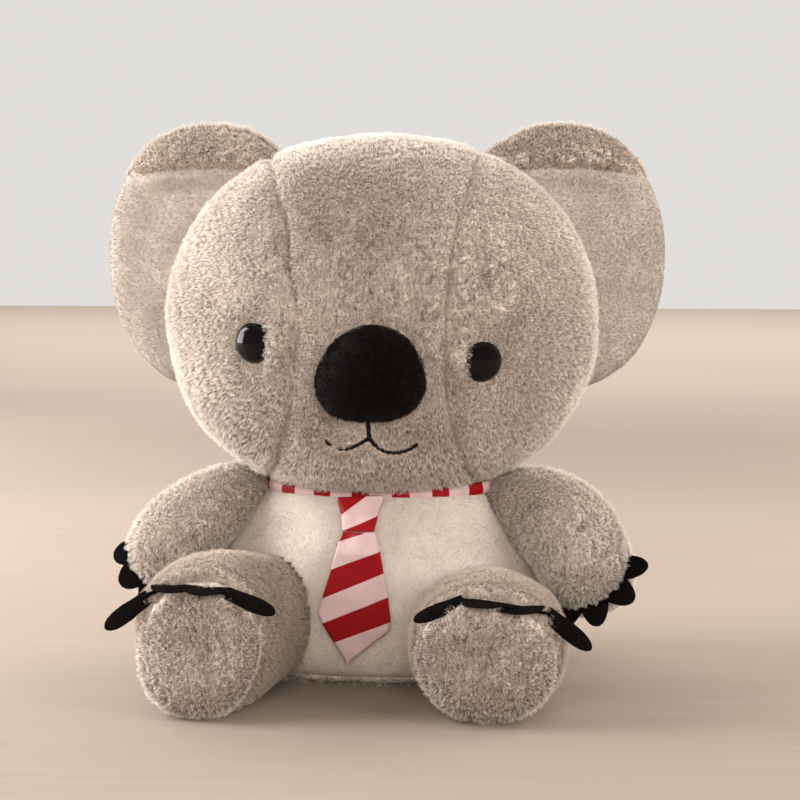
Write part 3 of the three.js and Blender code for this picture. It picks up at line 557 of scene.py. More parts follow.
def grow(ob, material, length, per_mm2, thick, where, how_long, seed, lean=(0, 0, -0.2), clump=0.45,
         children=9, wild=0.34, rough=0.5):
    """Pile on a panel: length and thickness in mm, strands to the square millimetre of its outer face."""
    me = ob.data
    area = np.zeros(len(me.polygons))
    me.polygons.foreach_get("area", area)
    centre = np.zeros(len(me.polygons) * 4, np.int32)
    # a face counts by the mean of its corners' weights
    total = np.zeros(len(me.polygons), np.int32)
    start = np.zeros(len(me.polygons), np.int32)
    me.polygons.foreach_get("loop_total", total)
    me.polygons.foreach_get("loop_start", start)
    loops = np.zeros(len(me.loops), np.int32)
    me.loops.foreach_get("vertex_index", loops)
    mean = np.add.reduceat(where[loops], start) / total
    mm2 = float((area * mean).sum()) * 1e6
    count = max(60, int(mm2 * per_mm2 / children))
    me.materials.append(material)
    mod = ob.modifiers.new("pile", "PARTICLE_SYSTEM")
    ps = ob.particle_systems[-1]
    ps.seed = seed
    st = ps.settings
    st.name = ob.name + "_pile"
    st.type = "HAIR"
    st.count = count
    st.use_advanced_hair = True
    st.emit_from = "FACE"
    st.distribution = "RAND"
    st.use_even_distribution = True
    st.hair_step = 3
    st.normal_factor = length * MM / 4
    st.object_align_factor = tuple(c * length * MM / 4 for c in lean)
    st.factor_random = wild * length * MM / 4
    st.length_random = 0.35
    st.material = len(me.materials)
    st.child_type = "INTERPOLATED"
    st.child_percent = 1
    st.rendered_child_count = children
    st.child_length = 1.0
    st.clump_factor = clump
    st.clump_shape = 0.2
    st.roughness_1 = rough * MM
    st.roughness_1_size = 0.004
    st.roughness_2 = rough * 1.4 * MM
    st.roughness_2_size = 0.002
    st.roughness_endpoint = rough * 1.2 * MM
    st.roughness_end_shape = 1.0
    st.radius_scale = thick * MM
    st.root_radius = 1.0
    st.tip_radius = 0.35
    st.use_close_tip = True
    st.display_step = 2
    st.render_step = 2
    ps.vertex_group_density = weights(ob, "where", where)
    ps.vertex_group_length = weights(ob, "length", how_long)
    ob.show_instancer_for_render = True
    return count * children


strands = 0

# --------------------------------------------------- sizes, as in the solids

TORSO = [[0, 112, 84, 88], [8, 134, 98, 103], [28, 148, 107, 113], [55, 152, 110, 115], [80, 149, 108, 112],
         [105, 141, 101, 105], [125, 128, 93, 97], [140, 116, 87, 88], [150, 103, 79, 78], [157, 87, 66, 66],
         [163, 58, 44, 44], [165, 0, 0, 0]]
TORSO_POWER, BASE_SEAM_Z, SIDE_SEAM_Y = 2.3, 6.0, 5.0
NECK = np.array([0, -5, 135.0])
TURN = math.radians(4)
HEAD_C = np.array([0, -15, 155.0])
HEAD_HALF = np.array([170, 134, 143.0])
HEAD_POWER = 2.15
HEAD_BACK_Y = 8.0
SEAM_R = [(-99, 330), (-96, 320), (-91, 290), (-82, 262), (-71, 235), (-68, 204), (-62, 174), (-61, 159), (-63, 142),
          (-65, 112), (-66, 95), (-73, 72), (-79, 52), (-92, 30), (-99, -10)]
SEAM_L = [(85, 330), (82, 320), (77, 290), (70, 262), (61, 232), (56, 203), (54, 178), (53, 134), (53, 112),
          (57, 82), (63, 64), (69, 42), (80, 28), (88, -10)]
CREASES = [[(-68, 204.5), (-58.8, 206.9), (-49.5, 209.2)],
           [(-68, 204.5), (-77.4, 196.9), (-86.8, 187.6), (-91.5, 176.9), (-95.5, 166.1)],
           [(-87.4, 96), (-79.4, 94.8), (-72.3, 92.6)], [(-63.8, 87.3), (-57.6, 82.6), (-49.9, 78.7)]]
EYES = {"r": (-94.4, 142.3), "l": (79.8, 128.7)}
NOSE_C = (-5.0, 118.0)
NOSE_OUTLINE = [(-4, 160), (-18, 157), (-29, 150), (-39, 138), (-45.5, 124), (-47.5, 111), (-44.5, 100), (-40, 92.5),
                (-31, 86.5), (-20, 83.5), (-6, 83), (9, 84), (19, 87), (29, 93), (34, 100.5), (37.5, 112), (36, 125),
                (31.5, 138), (22.5, 151), (11, 157.5)]
NOSE_DEPTH = 24.0
MOUTH = [[(-7.1, 80), (-6.8, 74), (-6.4, 69.2)],
         [(-6.4, 69.2), (-13.7, 64.8), (-20.1, 61.3), (-25.6, 59.8), (-31.0, 60.2)],
         [(-36.6, 62.8), (-39.8, 66.4)],
         [(-6.4, 69.2), (-2.6, 63.8), (2, 60), (7.7, 57.4), (14.7, 57), (22.5, 59), (30.3, 64)]]
EAR_C = np.array([146, 34, 203.0])
EAR_W, EAR_H, EAR_T = 98.0, 110.0, 19.0
EAR_SWEEP = math.radians(22)
EAR_FLAP_Z = 76.0
ARM = [[113, -22, 127, 25.5], [131, -41, 131, 34], [149, -60, 127, 38], [163, -72, 112, 39], [170, -80, 98, 36]]
HIP = np.array([84, -58, 57.0])
LEG_DIR = np.array([17.5, -157, 0.0])
LEG_DIR /= np.linalg.norm(LEG_DIR)
LEG_U = np.array([LEG_DIR[1], -LEG_DIR[0], 0.0])            # towards the body's middle on the koala's left
# how high each leg is, how wide its foot, how far the foot turns out, and how far its sole sags forward
FOOT_SHAPE = {"l": (0.86, 0.95, 0.0, 9.0), "r": (0.945, 0.965, 5.0, 21.0)}
RIGHT_SLIM = 0.22                 # how much less the right leg bulges towards the middle
SPLAY_R = math.radians(4.4)          # the koala's right leg is set this much further out
LEG = [[-46, 0, 0, 57], [-38, 25.9, 25.9, 57], [-22, 40.4, 40.4, 57], [0, 45.5, 46, 57], [40, 48, 51, 57.9],
       [78, 53.5, 57.3, 59.8], [112, 59.5, 61, 61.2], [136, 57.5, 59.5, 61.5], [149, 50, 52, 61.8], [158, 35, 37, 62],
       [162, 18, 19, 62], [163.5, 0, 0, 62]]
BLADE_L = [(-21.5, 125.6), (-25, 116.7), (-31, 94.4), (-37.3, 73.2), (-41, 63), (-37.2, 53.8), (-27.3, 38.4), (-17, 23)]
BLADE_R = [(3.4, 125.6), (8, 115.6), (10.4, 103), (11.6, 94.6), (15.1, 75.4), (17.2, 57), (16, 49.6), (-4.3, 33.6), (-17, 23)]


def head_world(v):
    c, s = math.cos(TURN), math.sin(TURN)
    return np.stack([c * v[:, 0] - s * v[:, 1], s * v[:, 0] + c * v[:, 1], v[:, 2]], 1) + NECK


def head_local(v):
    v = v - NECK
    c, s = math.cos(TURN), math.sin(TURN)
    return np.stack([c * v[:, 0] + s * v[:, 1], -s * v[:, 0] + c * v[:, 1], v[:, 2]], 1)


def head_level(v, t=0.0):
    """Below 1 inside the head (head frame), grown by t."""
    q = np.abs((v - HEAD_C) / (HEAD_HALF + t))
    return (q ** HEAD_POWER).sum(1) ** (1 / HEAD_POWER)


def on_face(x, z, lift=0.0):
    x, z = np.atleast_1d(np.asarray(x, float)), np.atleast_1d(np.asarray(z, float))
    n, (a, b, c) = HEAD_POWER, HEAD_HALF
    rx, rz = np.abs((x - HEAD_C[0]) / a) ** n, np.abs((z - HEAD_C[2]) / c) ** n
    ry = np.maximum(1e-6, 1 - rx - rz) ** (1 / n)
    p = np.stack([x, HEAD_C[1] - b * ry, z], 1)
    g = np.stack([np.sign(x - HEAD_C[0]) * np.abs((x - HEAD_C[0]) / a) ** (n - 1) / a, -(ry ** (n - 1)) / b,
                  np.sign(z - HEAD_C[2]) * np.abs((z - HEAD_C[2]) / c) ** (n - 1) / c], 1)
    g /= np.linalg.norm(g, axis=1)[:, None]
    return p + g * lift, g


def seam_x(line, z):
    pts = sorted([(b, a) for a, b in line])
    return np.interp(z, [p[0] for p in pts], [p[1] for p in pts])


def pile_relief(v, n, seed, size=11.0, tuft=0.9, lump=1.5, fine=0.3):
    """How far the plush stands up here: stuffing lumps, tufts that lie together, and loose pile."""
    lie = v + 3.0 * np.stack([fbm(v / 18.0, 2, seed + 5), fbm(v / 18.0, 2, seed + 6), fbm(v / 18.0, 2, seed + 7)], 1)
    one, two = tufts(lie / np.array([size * 0.8, size * 0.8, size * 1.25]), seed)
    dome = np.clip(two - one, 0, 0.55) / 0.55
    return lump * fbm(v / 42.0, 2, seed + 1) + tuft * (dome - 0.6) * (0.7 + 0.5 * fbm(v / 30.0, 2, seed + 2)) + fine * vnoise(v / 4.2, seed + 3)


def panel(name, nodes, body, v, n, faces, label, want, thick=2.5):
    """One sewn panel out of a whole skin. Also gives what the pile needs: which vertices are outer."""
    mine = [f[label[i] == want] for i, f in enumerate(faces)]
    pv, pf, pn, idx = used_only(v, mine, n, np.arange(len(v)))
    sv, sf = cloth_shell(pv, pn, pf, thick)
    ob = put_mesh(name, sv, sf)
    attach(ob, body)
    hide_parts(*nodes)
    outer = np.concatenate([np.ones(len(pv)), np.zeros(len(pv))])
    both = np.concatenate([idx, idx])
    return ob, outer, both


def face_centres(v, faces):
    return [v[f].mean(1) for f in faces]


def drop_inside(v, faces, inside):
    """Takes out the faces that lie in the room of another piece."""
    return [f[~inside[f].any(1)] for f in faces]


# --------------------------------------------------------------------- head

hv0, hf = cube_ball(84)
s = (np.abs(hv0) ** HEAD_POWER).sum(1) ** (-1 / HEAD_POWER)
hv = HEAD_C + hv0 * s[:, None] * HEAD_HALF
cen = face_centres(hv, hf)[0]
lab = np.where(cen[:, 1] > HEAD_BACK_Y, 3, np.where(cen[:, 0] < seam_x(SEAM_R, cen[:, 2]), 0, np.where(cen[:, 0] > seam_x(SEAM_L, cen[:, 2]), 2, 1)))
# boundary vertices move onto the seams
touch = [np.zeros(len(hv), bool) for _ in range(4)]
for k in range(4):
    touch[k][np.unique(hf[0][lab == k])] = True
n_ = HEAD_POWER
back_line = touch[3] & (touch[0] | touch[1] | touch[2])
q = (hv - HEAD_C) / HEAD_HALF
qy = (HEAD_BACK_Y - HEAD_C[1]) / HEAD_HALF[1]
k = ((1 - abs(qy) ** n_) / (np.abs(q[:, 0]) ** n_ + np.abs(q[:, 2]) ** n_ + 1e-9)) ** (1 / n_)
moved = np.stack([q[:, 0] * k, np.full(len(q), qy), q[:, 2] * k], 1) * HEAD_HALF + HEAD_C
hv[back_line] = moved[back_line]
for line, a, b in ((SEAM_R, 0, 1), (SEAM_L, 2, 1)):
    on = touch[a] & touch[b] & ~back_line
    x = seam_x(line, hv[on, 2])
    hv[on] = on_face(x, hv[on, 2])[0]
hn = normals(hv, hf)
front = hv[:, 1] < HEAD_BACK_Y
slope = 0.96
d_r = np.abs(hv[:, 0] - seam_x(SEAM_R, hv[:, 2])) * slope
d_l = np.abs(hv[:, 0] - seam_x(SEAM_L, hv[:, 2])) * slope
d_r = np.where(front, d_r, 99.0)
d_l = np.where(front, d_l, 99.0)
d_b = np.abs(hv[:, 1] - HEAD_BACK_Y)
d_seam = np.minimum(np.minimum(d_r, d_l), d_b)
d_mouth = np.full(len(hv), 99.0)
for part in MOUTH:
    d_mouth = np.where(hv[:, 1] < -60, np.minimum(d_mouth, line_distance(hv[:, 0], hv[:, 2], part)), d_mouth)
ring = NOSE_OUTLINE + NOSE_OUTLINE[:1]
nose_ang = np.arctan2(hv[:, 2] - NOSE_C[1], hv[:, 0] - NOSE_C[0])
out_ang = np.array([math.atan2(z - NOSE_C[1], x - NOSE_C[0]) for x, z in NOSE_OUTLINE])
out_rad = np.array([math.hypot(x - NOSE_C[0], z - NOSE_C[1]) for x, z in NOSE_OUTLINE])
order = np.argsort(out_ang)
oa = np.concatenate([out_ang[order][-3:] - 2 * math.pi, out_ang[order], out_ang[order][:3] + 2 * math.pi])
orr = np.concatenate([out_rad[order][-3:], out_rad[order], out_rad[order][:3]])


def nose_radius(a):
    return pchip(oa, orr, np.atleast_1d(a))


nose_out = np.where(hv[:, 1] < -60, np.hypot(hv[:, 0] - NOSE_C[0], hv[:, 2] - NOSE_C[1]) - nose_radius(nose_ang), 99.0)
eye_at = {side: on_face(*xz) for side, xz in EYES.items()}
eye_d = {side: np.linalg.norm(hv - p[0], axis=1) for side, (p, g) in eye_at.items()}
d_eye = np.minimum(eye_d["r"], eye_d["l"])
# how far towards the nose from each eye
to_nose = np.where(hv[:, 0] < 0, hv[:, 0] - eye_at["r"][0][0][0], eye_at["l"][0][0][0] - hv[:, 0])
lid = smooth(to_nose, 4, 12)
crease = np.full(len(hv), 99.0)
for c in CREASES:
    crease = np.where(hv[:, 1] < -20, np.minimum(crease, line_distance(hv[:, 0], hv[:, 2], c)), crease)

relief = pile_relief(hv, hn, 3, 12.0, 1.0, 2.0, 0.35)
calm = smooth(d_eye, 14, 30) * smooth(nose_out, -2, 12) * smooth(d_mouth, 0, 8)
disp = relief * (0.25 + 0.75 * calm)
disp -= 4.3 * bell(d_seam, 2.3) + 1.3 * bell(d_seam, 13) * (0.8 + 0.4 * fbm(hv / 25.0, 2, 41))
disp += 0.9 * bell(d_seam - 11, 6) * (0.6 + 0.8 * fbm(hv / 14.0, 2, 44))
disp -= 1.8 * bell(crease, 2.6)
disp -= 3.2 * bell(d_eye, 21)
disp -= 2.0 * bell(np.maximum(nose_out, 0), 6) * (nose_out < 40)
disp -= 1.2 * bell(d_mouth, 3.5)
for side, (p_, g_) in eye_at.items():
    # the shank pulls each eye in, and the cloth on its inner side swells over its edge
    inner = p_[0] + np.array([17.5 if side == "r" else -17.5, -6.0, 0])
    disp += 8.6 * bell(np.linalg.norm((hv - inner) / np.array([1, 1, 1.4]), axis=1), 8.5)
hvd = hv + hn * (disp + 0.9 + 1.1 * smooth(hv[:, 2], 18, 60) + 1.8 * smooth(hv[:, 2], 225, 290))[:, None]
hnd = normals(hvd, hf)
hw = head_world(hvd)
hnw = head_world(hnd + 0) - NECK

neck_open = np.linalg.norm(hv, axis=1) < 49
hf_open = drop_inside(hw, hf, neck_open)
keep = ~neck_open[hf[0]].any(1)
lab_open = [lab[keep]]
n_world = np.stack([math.cos(TURN) * hnd[:, 0] - math.sin(TURN) * hnd[:, 1], math.sin(TURN) * hnd[:, 0] + math.cos(TURN) * hnd[:, 1], hnd[:, 2]], 1)

head_len = np.clip(smooth(d_seam, 0.3, 4.0) * 0.5 + 0.5, 0, 1)
head_len *= 0.5 + 0.5 * np.maximum(smooth(d_eye, 14, 20), lid * smooth(d_eye, 11, 14))
head_len *= np.where(nose_out < 40, 0.7 + 0.3 * smooth(nose_out, 0, 7), 1)
head_len *= 0.35 + 0.65 * smooth(d_mouth, 1.0, 8)
head_len *= 0.85 + 0.15 * fbm(hv / 16.0, 2, 61)
head_where = np.where(nose_out < -3, 0.0, 1.0) * np.where(d_eye < 14.2 - 2.6 * lid, 0.0, 1.0) * (0.15 + 0.85 * smooth(d_mouth, 1.0, 2.6))
head_where *= smooth(d_seam, 0.5, 2.2)
head_where *= np.where(hv[:, 2] < 14, 0.25, 1.0)

for want, cad, mat, hair, seed in ((0, "head_side_panel_r", mat_face, hair_face, 1), (1, "head_front_panel", mat_face, hair_face, 2),
                                   (2, "head_side_panel_l", mat_face, hair_face, 3), (3, "head_back_panel", mat_grey, hair_grey, 4)):
    ob, outer, idx = panel(cad + "_plush", [cad], "head", hw, n_world, hf_open, lab_open, want)
    ob.data.materials.append(mat)
    rear = 0.55 if want == 3 else 1.0
    strands += grow(ob, hair, 5.6, 1.7 * rear, 0.27 / (0.75 if want == 3 else 1.0), head_where[idx] * outer, head_len[idx], seed,
                    lean=(0.0, -0.05, -0.22))

# -------------------------------------------------------------------- torso


def superring(a, b, cy, z, power, count, turn=0.0):
    t = np.linspace(0, 2 * math.pi, count, endpoint=False) + turn
    c, sn = np.cos(t), np.sin(t)
    k = (np.abs(c) ** power + np.abs(sn) ** power) ** (-1 / power)
    return np.stack([a * c * k, cy + b * sn * k, np.full(count, z)], 1)


rows = along_chord([[0.0, 0, 0, 0]] + TORSO, 118, (1, 1, 0.6, 0.6))
rings = np.stack([superring(a, (yf + yb) / 2, (yb - yf) / 2, z, TORSO_POWER, 236) for z, a, yf, yb in rows[1:-1]])
tv, tf = loft(rings, first=(0, 2, 0), last=(0, 0, 165))


def torso_profile(z):
    t = np.array(TORSO)
    return pchip(t[:, 0], t[:, 1:], np.atleast_1d(z))


def arm_axis(count=60, table=None):
    t = np.array(ARM if table is None else table, float)
    at = np.concatenate([[0], np.cumsum(np.linalg.norm(np.diff(t[:, :3], axis=0), axis=1))])
    q = np.linspace(0, at[-1], count)
    # a smooth curve through the points
    d = np.gradient(t, at, axis=0)
    k = np.clip(np.searchsorted(at, q, side="right") - 1, 0, len(at) - 2)
    h = (at[k + 1] - at[k])[:, None]
    u = ((q - at[k])[:, None]) / h
    return (t[k] * (1 + 2 * u) * (1 - u) ** 2 + d[k] * h * u * (1 - u) ** 2 + t[k + 1] * u * u * (3 - 2 * u) + d[k + 1] * h * u * u * (u - 1))


ARM_SEEN = {"l": [[110, -22, 135, 33], [131, -41, 133, 36.5], [149, -60, 127.5, 37.5], [163, -73, 111, 37.5], [170, -81, 96, 36]],
            "r": [[104, -20, 146, 25], [122, -40, 143, 27.5], [141, -60, 133, 30.5], [158, -72, 116, 34], [168, -80, 101, 33.5]]}
arm_line = {side: arm_axis(60, table) for side, table in ARM_SEEN.items()}


def arm_gap(v):
    """Distance outside the arm on this side."""
    p = np.stack([np.abs(v[:, 0]), v[:, 1], v[:, 2]], 1)
    gaps = {}
    for side, line in arm_line.items():
        gaps[side] = np.full(len(p), 1e9)
        for c in line:
            gaps[side] = np.minimum(gaps[side], np.linalg.norm(p - c[:3], axis=1) - c[3])
    return np.where(v[:, 0] > 0, gaps["l"], gaps["r"])


def splayed(v, back=False):
    """From the mirrored place of the right leg to its own, or back, in the frame of the left."""
    a = -SPLAY_R if back else SPLAY_R
    q = v - HIP
    c, s_ = math.cos(a), math.sin(a)
    return np.stack([c * q[:, 0] - s_ * q[:, 1], s_ * q[:, 0] + c * q[:, 1], q[:, 2]], 1) + HIP


def leg_gap(v, t=0.0):
    """Below 1 inside the leg on this side."""
    p = np.stack([np.abs(v[:, 0]), v[:, 1], v[:, 2]], 1)
    p = np.where((v[:, 0] < 0)[:, None], splayed(p, True), p) - np.array([HIP[0], HIP[1], 0])
    p[:, 2] /= np.where(v[:, 0] < 0, FOOT_SHAPE["r"][0], FOOT_SHAPE["l"][0])
    s_ = p @ LEG_DIR
    u = p @ LEG_U
    slim = np.where(v[:, 0] < 0, RIGHT_SLIM, 0) * smooth(-(p[:, 1] + HIP[1]), 62, 122)
    u = np.where(u > 0, u / (1 - slim), u)
    table = np.array(LEG)
    w, h, c = (np.interp(s_, table[:, 0], table[:, k], left=0.01, right=0.01) for k in (1, 2, 3))
    return ((np.abs(u) / (w + t)) ** 2.1 + (np.abs(p[:, 2] - c) / (h + t)) ** 2.1) ** (1 / 2.1)


tc = face_centres(tv, tf)
tlab = [np.where(c[:, 2] < BASE_SEAM_Z, 2, np.where(c[:, 1] < SIDE_SEAM_Y, 0, 1)) for c in tc]
tt = [np.zeros(len(tv), bool) for _ in range(3)]
for i, f in enumerate(tf):
    for kk in range(3):
        tt[kk][np.unique(f[tlab[i] == kk])] = True
on = tt[2] & (tt[0] | tt[1])
tv[on, 2] = BASE_SEAM_Z
on = tt[0] & tt[1] & ~on
tv[on, 1] = SIDE_SEAM_Y
tn = normals(tv, tf)
td_side = np.abs(tv[:, 1] - SIDE_SEAM_Y)
td_base = np.abs(tv[:, 2] - BASE_SEAM_Z) + np.where(tv[:, 2] < 3, 20, 0)
td_seam = np.minimum(td_side, td_base)
belly = (tv[:, 1] < SIDE_SEAM_Y) & (tv[:, 2] > BASE_SEAM_Z)
base_flat = smooth(tv[:, 2], 0.5, 10)
t_rel = np.where(belly, 1.2 * fbm(tv / 48.0, 2, 71) + 0.35 * fbm(tv / 12.0, 2, 72) + 0.12 * vnoise(tv / 4.0, 73),
                 pile_relief(tv, tn, 8, 12.0, 1.0, 1.8, 0.35))
t_disp = t_rel * base_flat
t_disp -= 3.6 * bell(td_side, 4.5) * smooth(tv[:, 2], 4, 14) + 1.8 * bell(td_base, 3.4) * base_flat
# the belly's darts: short creases near its middle, and the tick of its centre seam at the foot
for line, deep, wide in (([(-71, 73), (-60, 72.5), (-49, 74)], 1.3, 2.2), ([(6, 70), (16, 68.5), (26, 71)], 1.2, 2.2),
                         ([(-12, 2), (-12, 13)], 1.6, 1.8), ([(-58, 118), (-66, 96), (-69, 76)], 0.7, 3.5), ([(38, 116), (43, 96), (42, 74)], 0.7, 3.5)):
    t_disp -= np.where(tv[:, 1] < -40, deep * bell(line_distance(tv[:, 0], tv[:, 2], line), wide), 0)
tvd = tv + tn * (t_disp - 0.6)[:, None]
tvd[:, 2] = np.maximum(tvd[:, 2], 0.0)
tnd = normals(tvd, tf)
hl = head_local(tvd)
qh = np.abs((hl - HEAD_C - np.array([0, 4, 0])) / (HEAD_HALF + np.array([5, 13, 6])))
in_head = (qh ** HEAD_POWER).sum(1) < 1
# the cloth runs on under the arms and legs, so that a lifted limb uncovers cloth
arm_hole = np.where(tvd[:, 0] > 0, 1.6 - 13.0 * (1 - smooth(tvd[:, 2], 112, 142)), -16.0)
leg_hole = 1 - 0.15 * (1 - smooth(tvd[:, 2], 14, 40))
in_rooms = in_head | (arm_gap(tvd) < arm_hole) | (leg_gap(tvd, 0.6) < leg_hole) | (np.linalg.norm(tvd - NECK, axis=1) < 48)
t_open, t_lab = [], []
for i, f in enumerate(tf):
    ok = ~in_rooms[f].any(1)
    t_open.append(f[ok])
    t_lab.append(tlab[i][ok])
t_where = smooth(tvd[:, 2], 1.6, 4.0)
t_len = 0.45 + 0.55 * smooth(td_seam, 0.5, 6)
for want, cad, mat, hair, slot_, length, dens, thick, seed in (
        (0, "torso_belly_panel", mat_white, hair_white, "fur_white", 1.1, 1.2, 0.2, 11),
        (1, "torso_back_panel", mat_grey, hair_grey, "fur_grey", 5.6, 0.8, 0.36, 12),
        (2, "torso_base_panel", mat_grey, hair_grey, "fur_base", 4.5, 1.0, 0.36, 13)):
    ob, outer, idx = panel(cad + "_plush", [cad], "torso", tvd, tnd, t_open, t_lab, want)
    ob.data.materials.append(mat)
    strands += grow(ob, hair, length, dens, thick, t_where[idx] * outer, t_len[idx], seed, lean=(0, -0.1, -0.3), clump=0.2 if want == 0 else 0.45)

# --------------------------------------------------------------------- arms


def frames_along(points):
    d = np.gradient(points, axis=0)
    d /= np.linalg.norm(d, axis=1)[:, None]
    u = np.cross(d, [0, 0, 1.0])
    u /= np.linalg.norm(u, axis=1)[:, None]
    return d, u, np.cross(u, d)


def tube_with_ends(line, around, cap=12):
    """A stuffed tube on a centre line of x, y, z, radius, with round ends."""
    d, u, w = frames_along(line[:, :3])
    t = np.linspace(0, 2 * math.pi, around, endpoint=False)
    rings = []
    for deg in np.linspace(82, 8, cap):
        a = math.radians(deg)
        c = line[0, :3] - d[0] * line[0, 3] * math.sin(a)
        rings.append(c + line[0, 3] * math.cos(a) * (np.cos(t)[:, None] * u[0] + np.sin(t)[:, None] * w[0]))
    for k_ in range(len(line)):
        rings.append(line[k_, :3] + line[k_, 3] * (np.cos(t)[:, None] * u[k_] + np.sin(t)[:, None] * w[k_]))
    for deg in np.linspace(5, 84, cap + 4):
        a = math.radians(deg)
        c = line[-1, :3] + d[-1] * line[-1, 3] * math.sin(a)
        rings.append(c + line[-1, 3] * math.cos(a) * (np.cos(t)[:, None] * u[-1] + np.sin(t)[:, None] * w[-1]))
    return loft(np.array(rings), first=line[0, :3] - d[0] * line[0, 3], last=line[-1, :3] + d[-1] * line[-1, 3])


A0, A4 = np.array(ARM[0][:3], float), np.array(ARM[4][:3], float)
ARM_DIR = (A4 - A0) / np.linalg.norm(A4 - A0)
claw_row = np.array([-0.835, 0, -0.55])
ARM_N = np.cross(ARM_DIR, claw_row)
ARM_N /= np.linalg.norm(ARM_N)                  # towards the arm's back panel
CLAW_SIDE = np.cross(ARM_N, ARM_DIR)
CLAW_SIDE /= np.linalg.norm(CLAW_SIDE)
mirror = np.array([-1.0, 1, 1])


def mirrored(v, faces):
    return v * mirror, [f[:, ::-1] for f in faces]


for side, sx in (("l", 1), ("r", -1)):
    av, af = tube_with_ends(arm_axis(40, ARM_SEEN[side]), 104)
    in_seam = np.array(ARM_SEEN[side][4][:3])
    v, f = (av.copy(), af) if sx > 0 else mirrored(av, af)
    home = v * np.array([sx, 1, 1])
    rel = (home - in_seam) @ ARM_N
    cl = [((v[q_].mean(1) * np.array([sx, 1, 1]) - in_seam) @ ARM_N > 0).astype(int) for q_ in f]
    ta = [np.zeros(len(v), bool), np.zeros(len(v), bool)]
    for i, q_ in enumerate(f):
        for kk in (0, 1):
            ta[kk][np.unique(q_[cl[i] == kk])] = True
    on = ta[0] & ta[1]
    home[on] -= rel[on][:, None] * ARM_N
    v = home * np.array([sx, 1, 1])
    rel = (home - in_seam) @ ARM_N
    n = normals(v, f)
    d_seam_a = np.abs(rel)
    seed = 20 if sx > 0 else 27
    disp_a = pile_relief(v, n, seed, 11.0, 1.0, 1.8, 0.35)
    disp_a -= 3.0 * bell(d_seam_a, 3.6) + 0.9 * bell(d_seam_a, 12)
    # gathers where the arm is sewn on
    near = np.linalg.norm((home - A0) / np.array([1, 1, 1.2]), axis=1)
    disp_a -= 1.2 * bell(near - 34, 12) * (0.5 + 0.5 * np.sin(np.arctan2(home[:, 2] - 127, home[:, 1] + 22) * 9))
    v = v + n * (disp_a - 1.2)[:, None]
    n = normals(v, f)
    where = np.ones(len(v)) * smooth(np.abs(v[:, 0]), 78, 96)
    length = 0.5 + 0.5 * smooth(d_seam_a, 0.5, 5)
    hand = np.linalg.norm(home - (A4 + ARM_DIR * 20), axis=1)
    length *= np.where(d_seam_a < 4, np.where(hand < 42, 0.5, 1), 1)
    for want, part in ((0, "front"), (1, "back")):
        cad = f"arm_{part}_panel_{side}"
        ob, outer, idx = panel(cad + "_plush", [cad], "arm_" + side, v, n, f, cl, want)
        ob.data.materials.append(mat_grey)
        strands += grow(ob, hair_grey, 5.4, 1.5, 0.28, where[idx] * outer, length[idx], seed + want, lean=(0.05 * sx, -0.05, -0.25))

# --------------------------------------------------------------------- legs

SOLE_TOP, SOLE_LOW = np.array([101.5, -209, 109.0]), np.array([101.5, -184, 0.0])
sole_dir = (SOLE_TOP - SOLE_LOW) / np.linalg.norm(SOLE_TOP - SOLE_LOW)
SOLE_N = np.cross([1.0, 0, 0], sole_dir)
SOLE_N /= np.linalg.norm(SOLE_N)
if SOLE_N[1] > 0:
    SOLE_N = -SOLE_N                                        # towards the sole


def leg_skin(side, count=96, around=150, t=0.0):
    squat, narrow, out_by, sag = FOOT_SHAPE[side]
    table = along_chord(LEG, count, (1, 1, 1, 0.2))
    ang = np.linspace(0, 2 * math.pi, around, endpoint=False)
    rings = []
    for s_, w, h, z in table[1:-1]:
        p = 2.12 if s_ > 0 else 2.0
        c, sn = np.cos(ang), np.sin(ang)
        k_ = (np.abs(c) ** p + np.abs(sn) ** p) ** (-1 / p)
        mid = np.array([HIP[0], HIP[1], 0]) + LEG_DIR * s_
        w, h = max(w + t, 0.3), max(h + t, 0.3)
        rings.append(mid + (c * k_)[:, None] * LEG_U * w + np.stack([0 * c, 0 * c, z + sn * k_ * h], 1))
    a_, b_ = table[0], table[-1]
    v, f = loft(np.array(rings), first=np.array([HIP[0], HIP[1], 0]) + LEG_DIR * a_[0] + [0, 0, a_[3]],
                last=np.array([HIP[0], HIP[1], 0]) + LEG_DIR * b_[0] + [0, 0, b_[3]])
    to_seam = (v - SOLE_TOP) @ SOLE_N
    grow_in = smooth(-(v[:, 1]), 100, 190)
    v[:, 2] *= squat
    across_ = (v - HIP) @ LEG_U
    v -= ((across_ * (1 - narrow) + out_by) * grow_in)[:, None] * LEG_U
    if side == "r":
        v -= (RIGHT_SLIM * np.maximum(across_, 0) * smooth(-(v[:, 1]), 62, 122))[:, None] * LEG_U
    return v, f, to_seam


def leg_place(v, side):
    """From the left leg's frame to where this side's leg is."""
    return splayed(v) * mirror if side == "r" else v


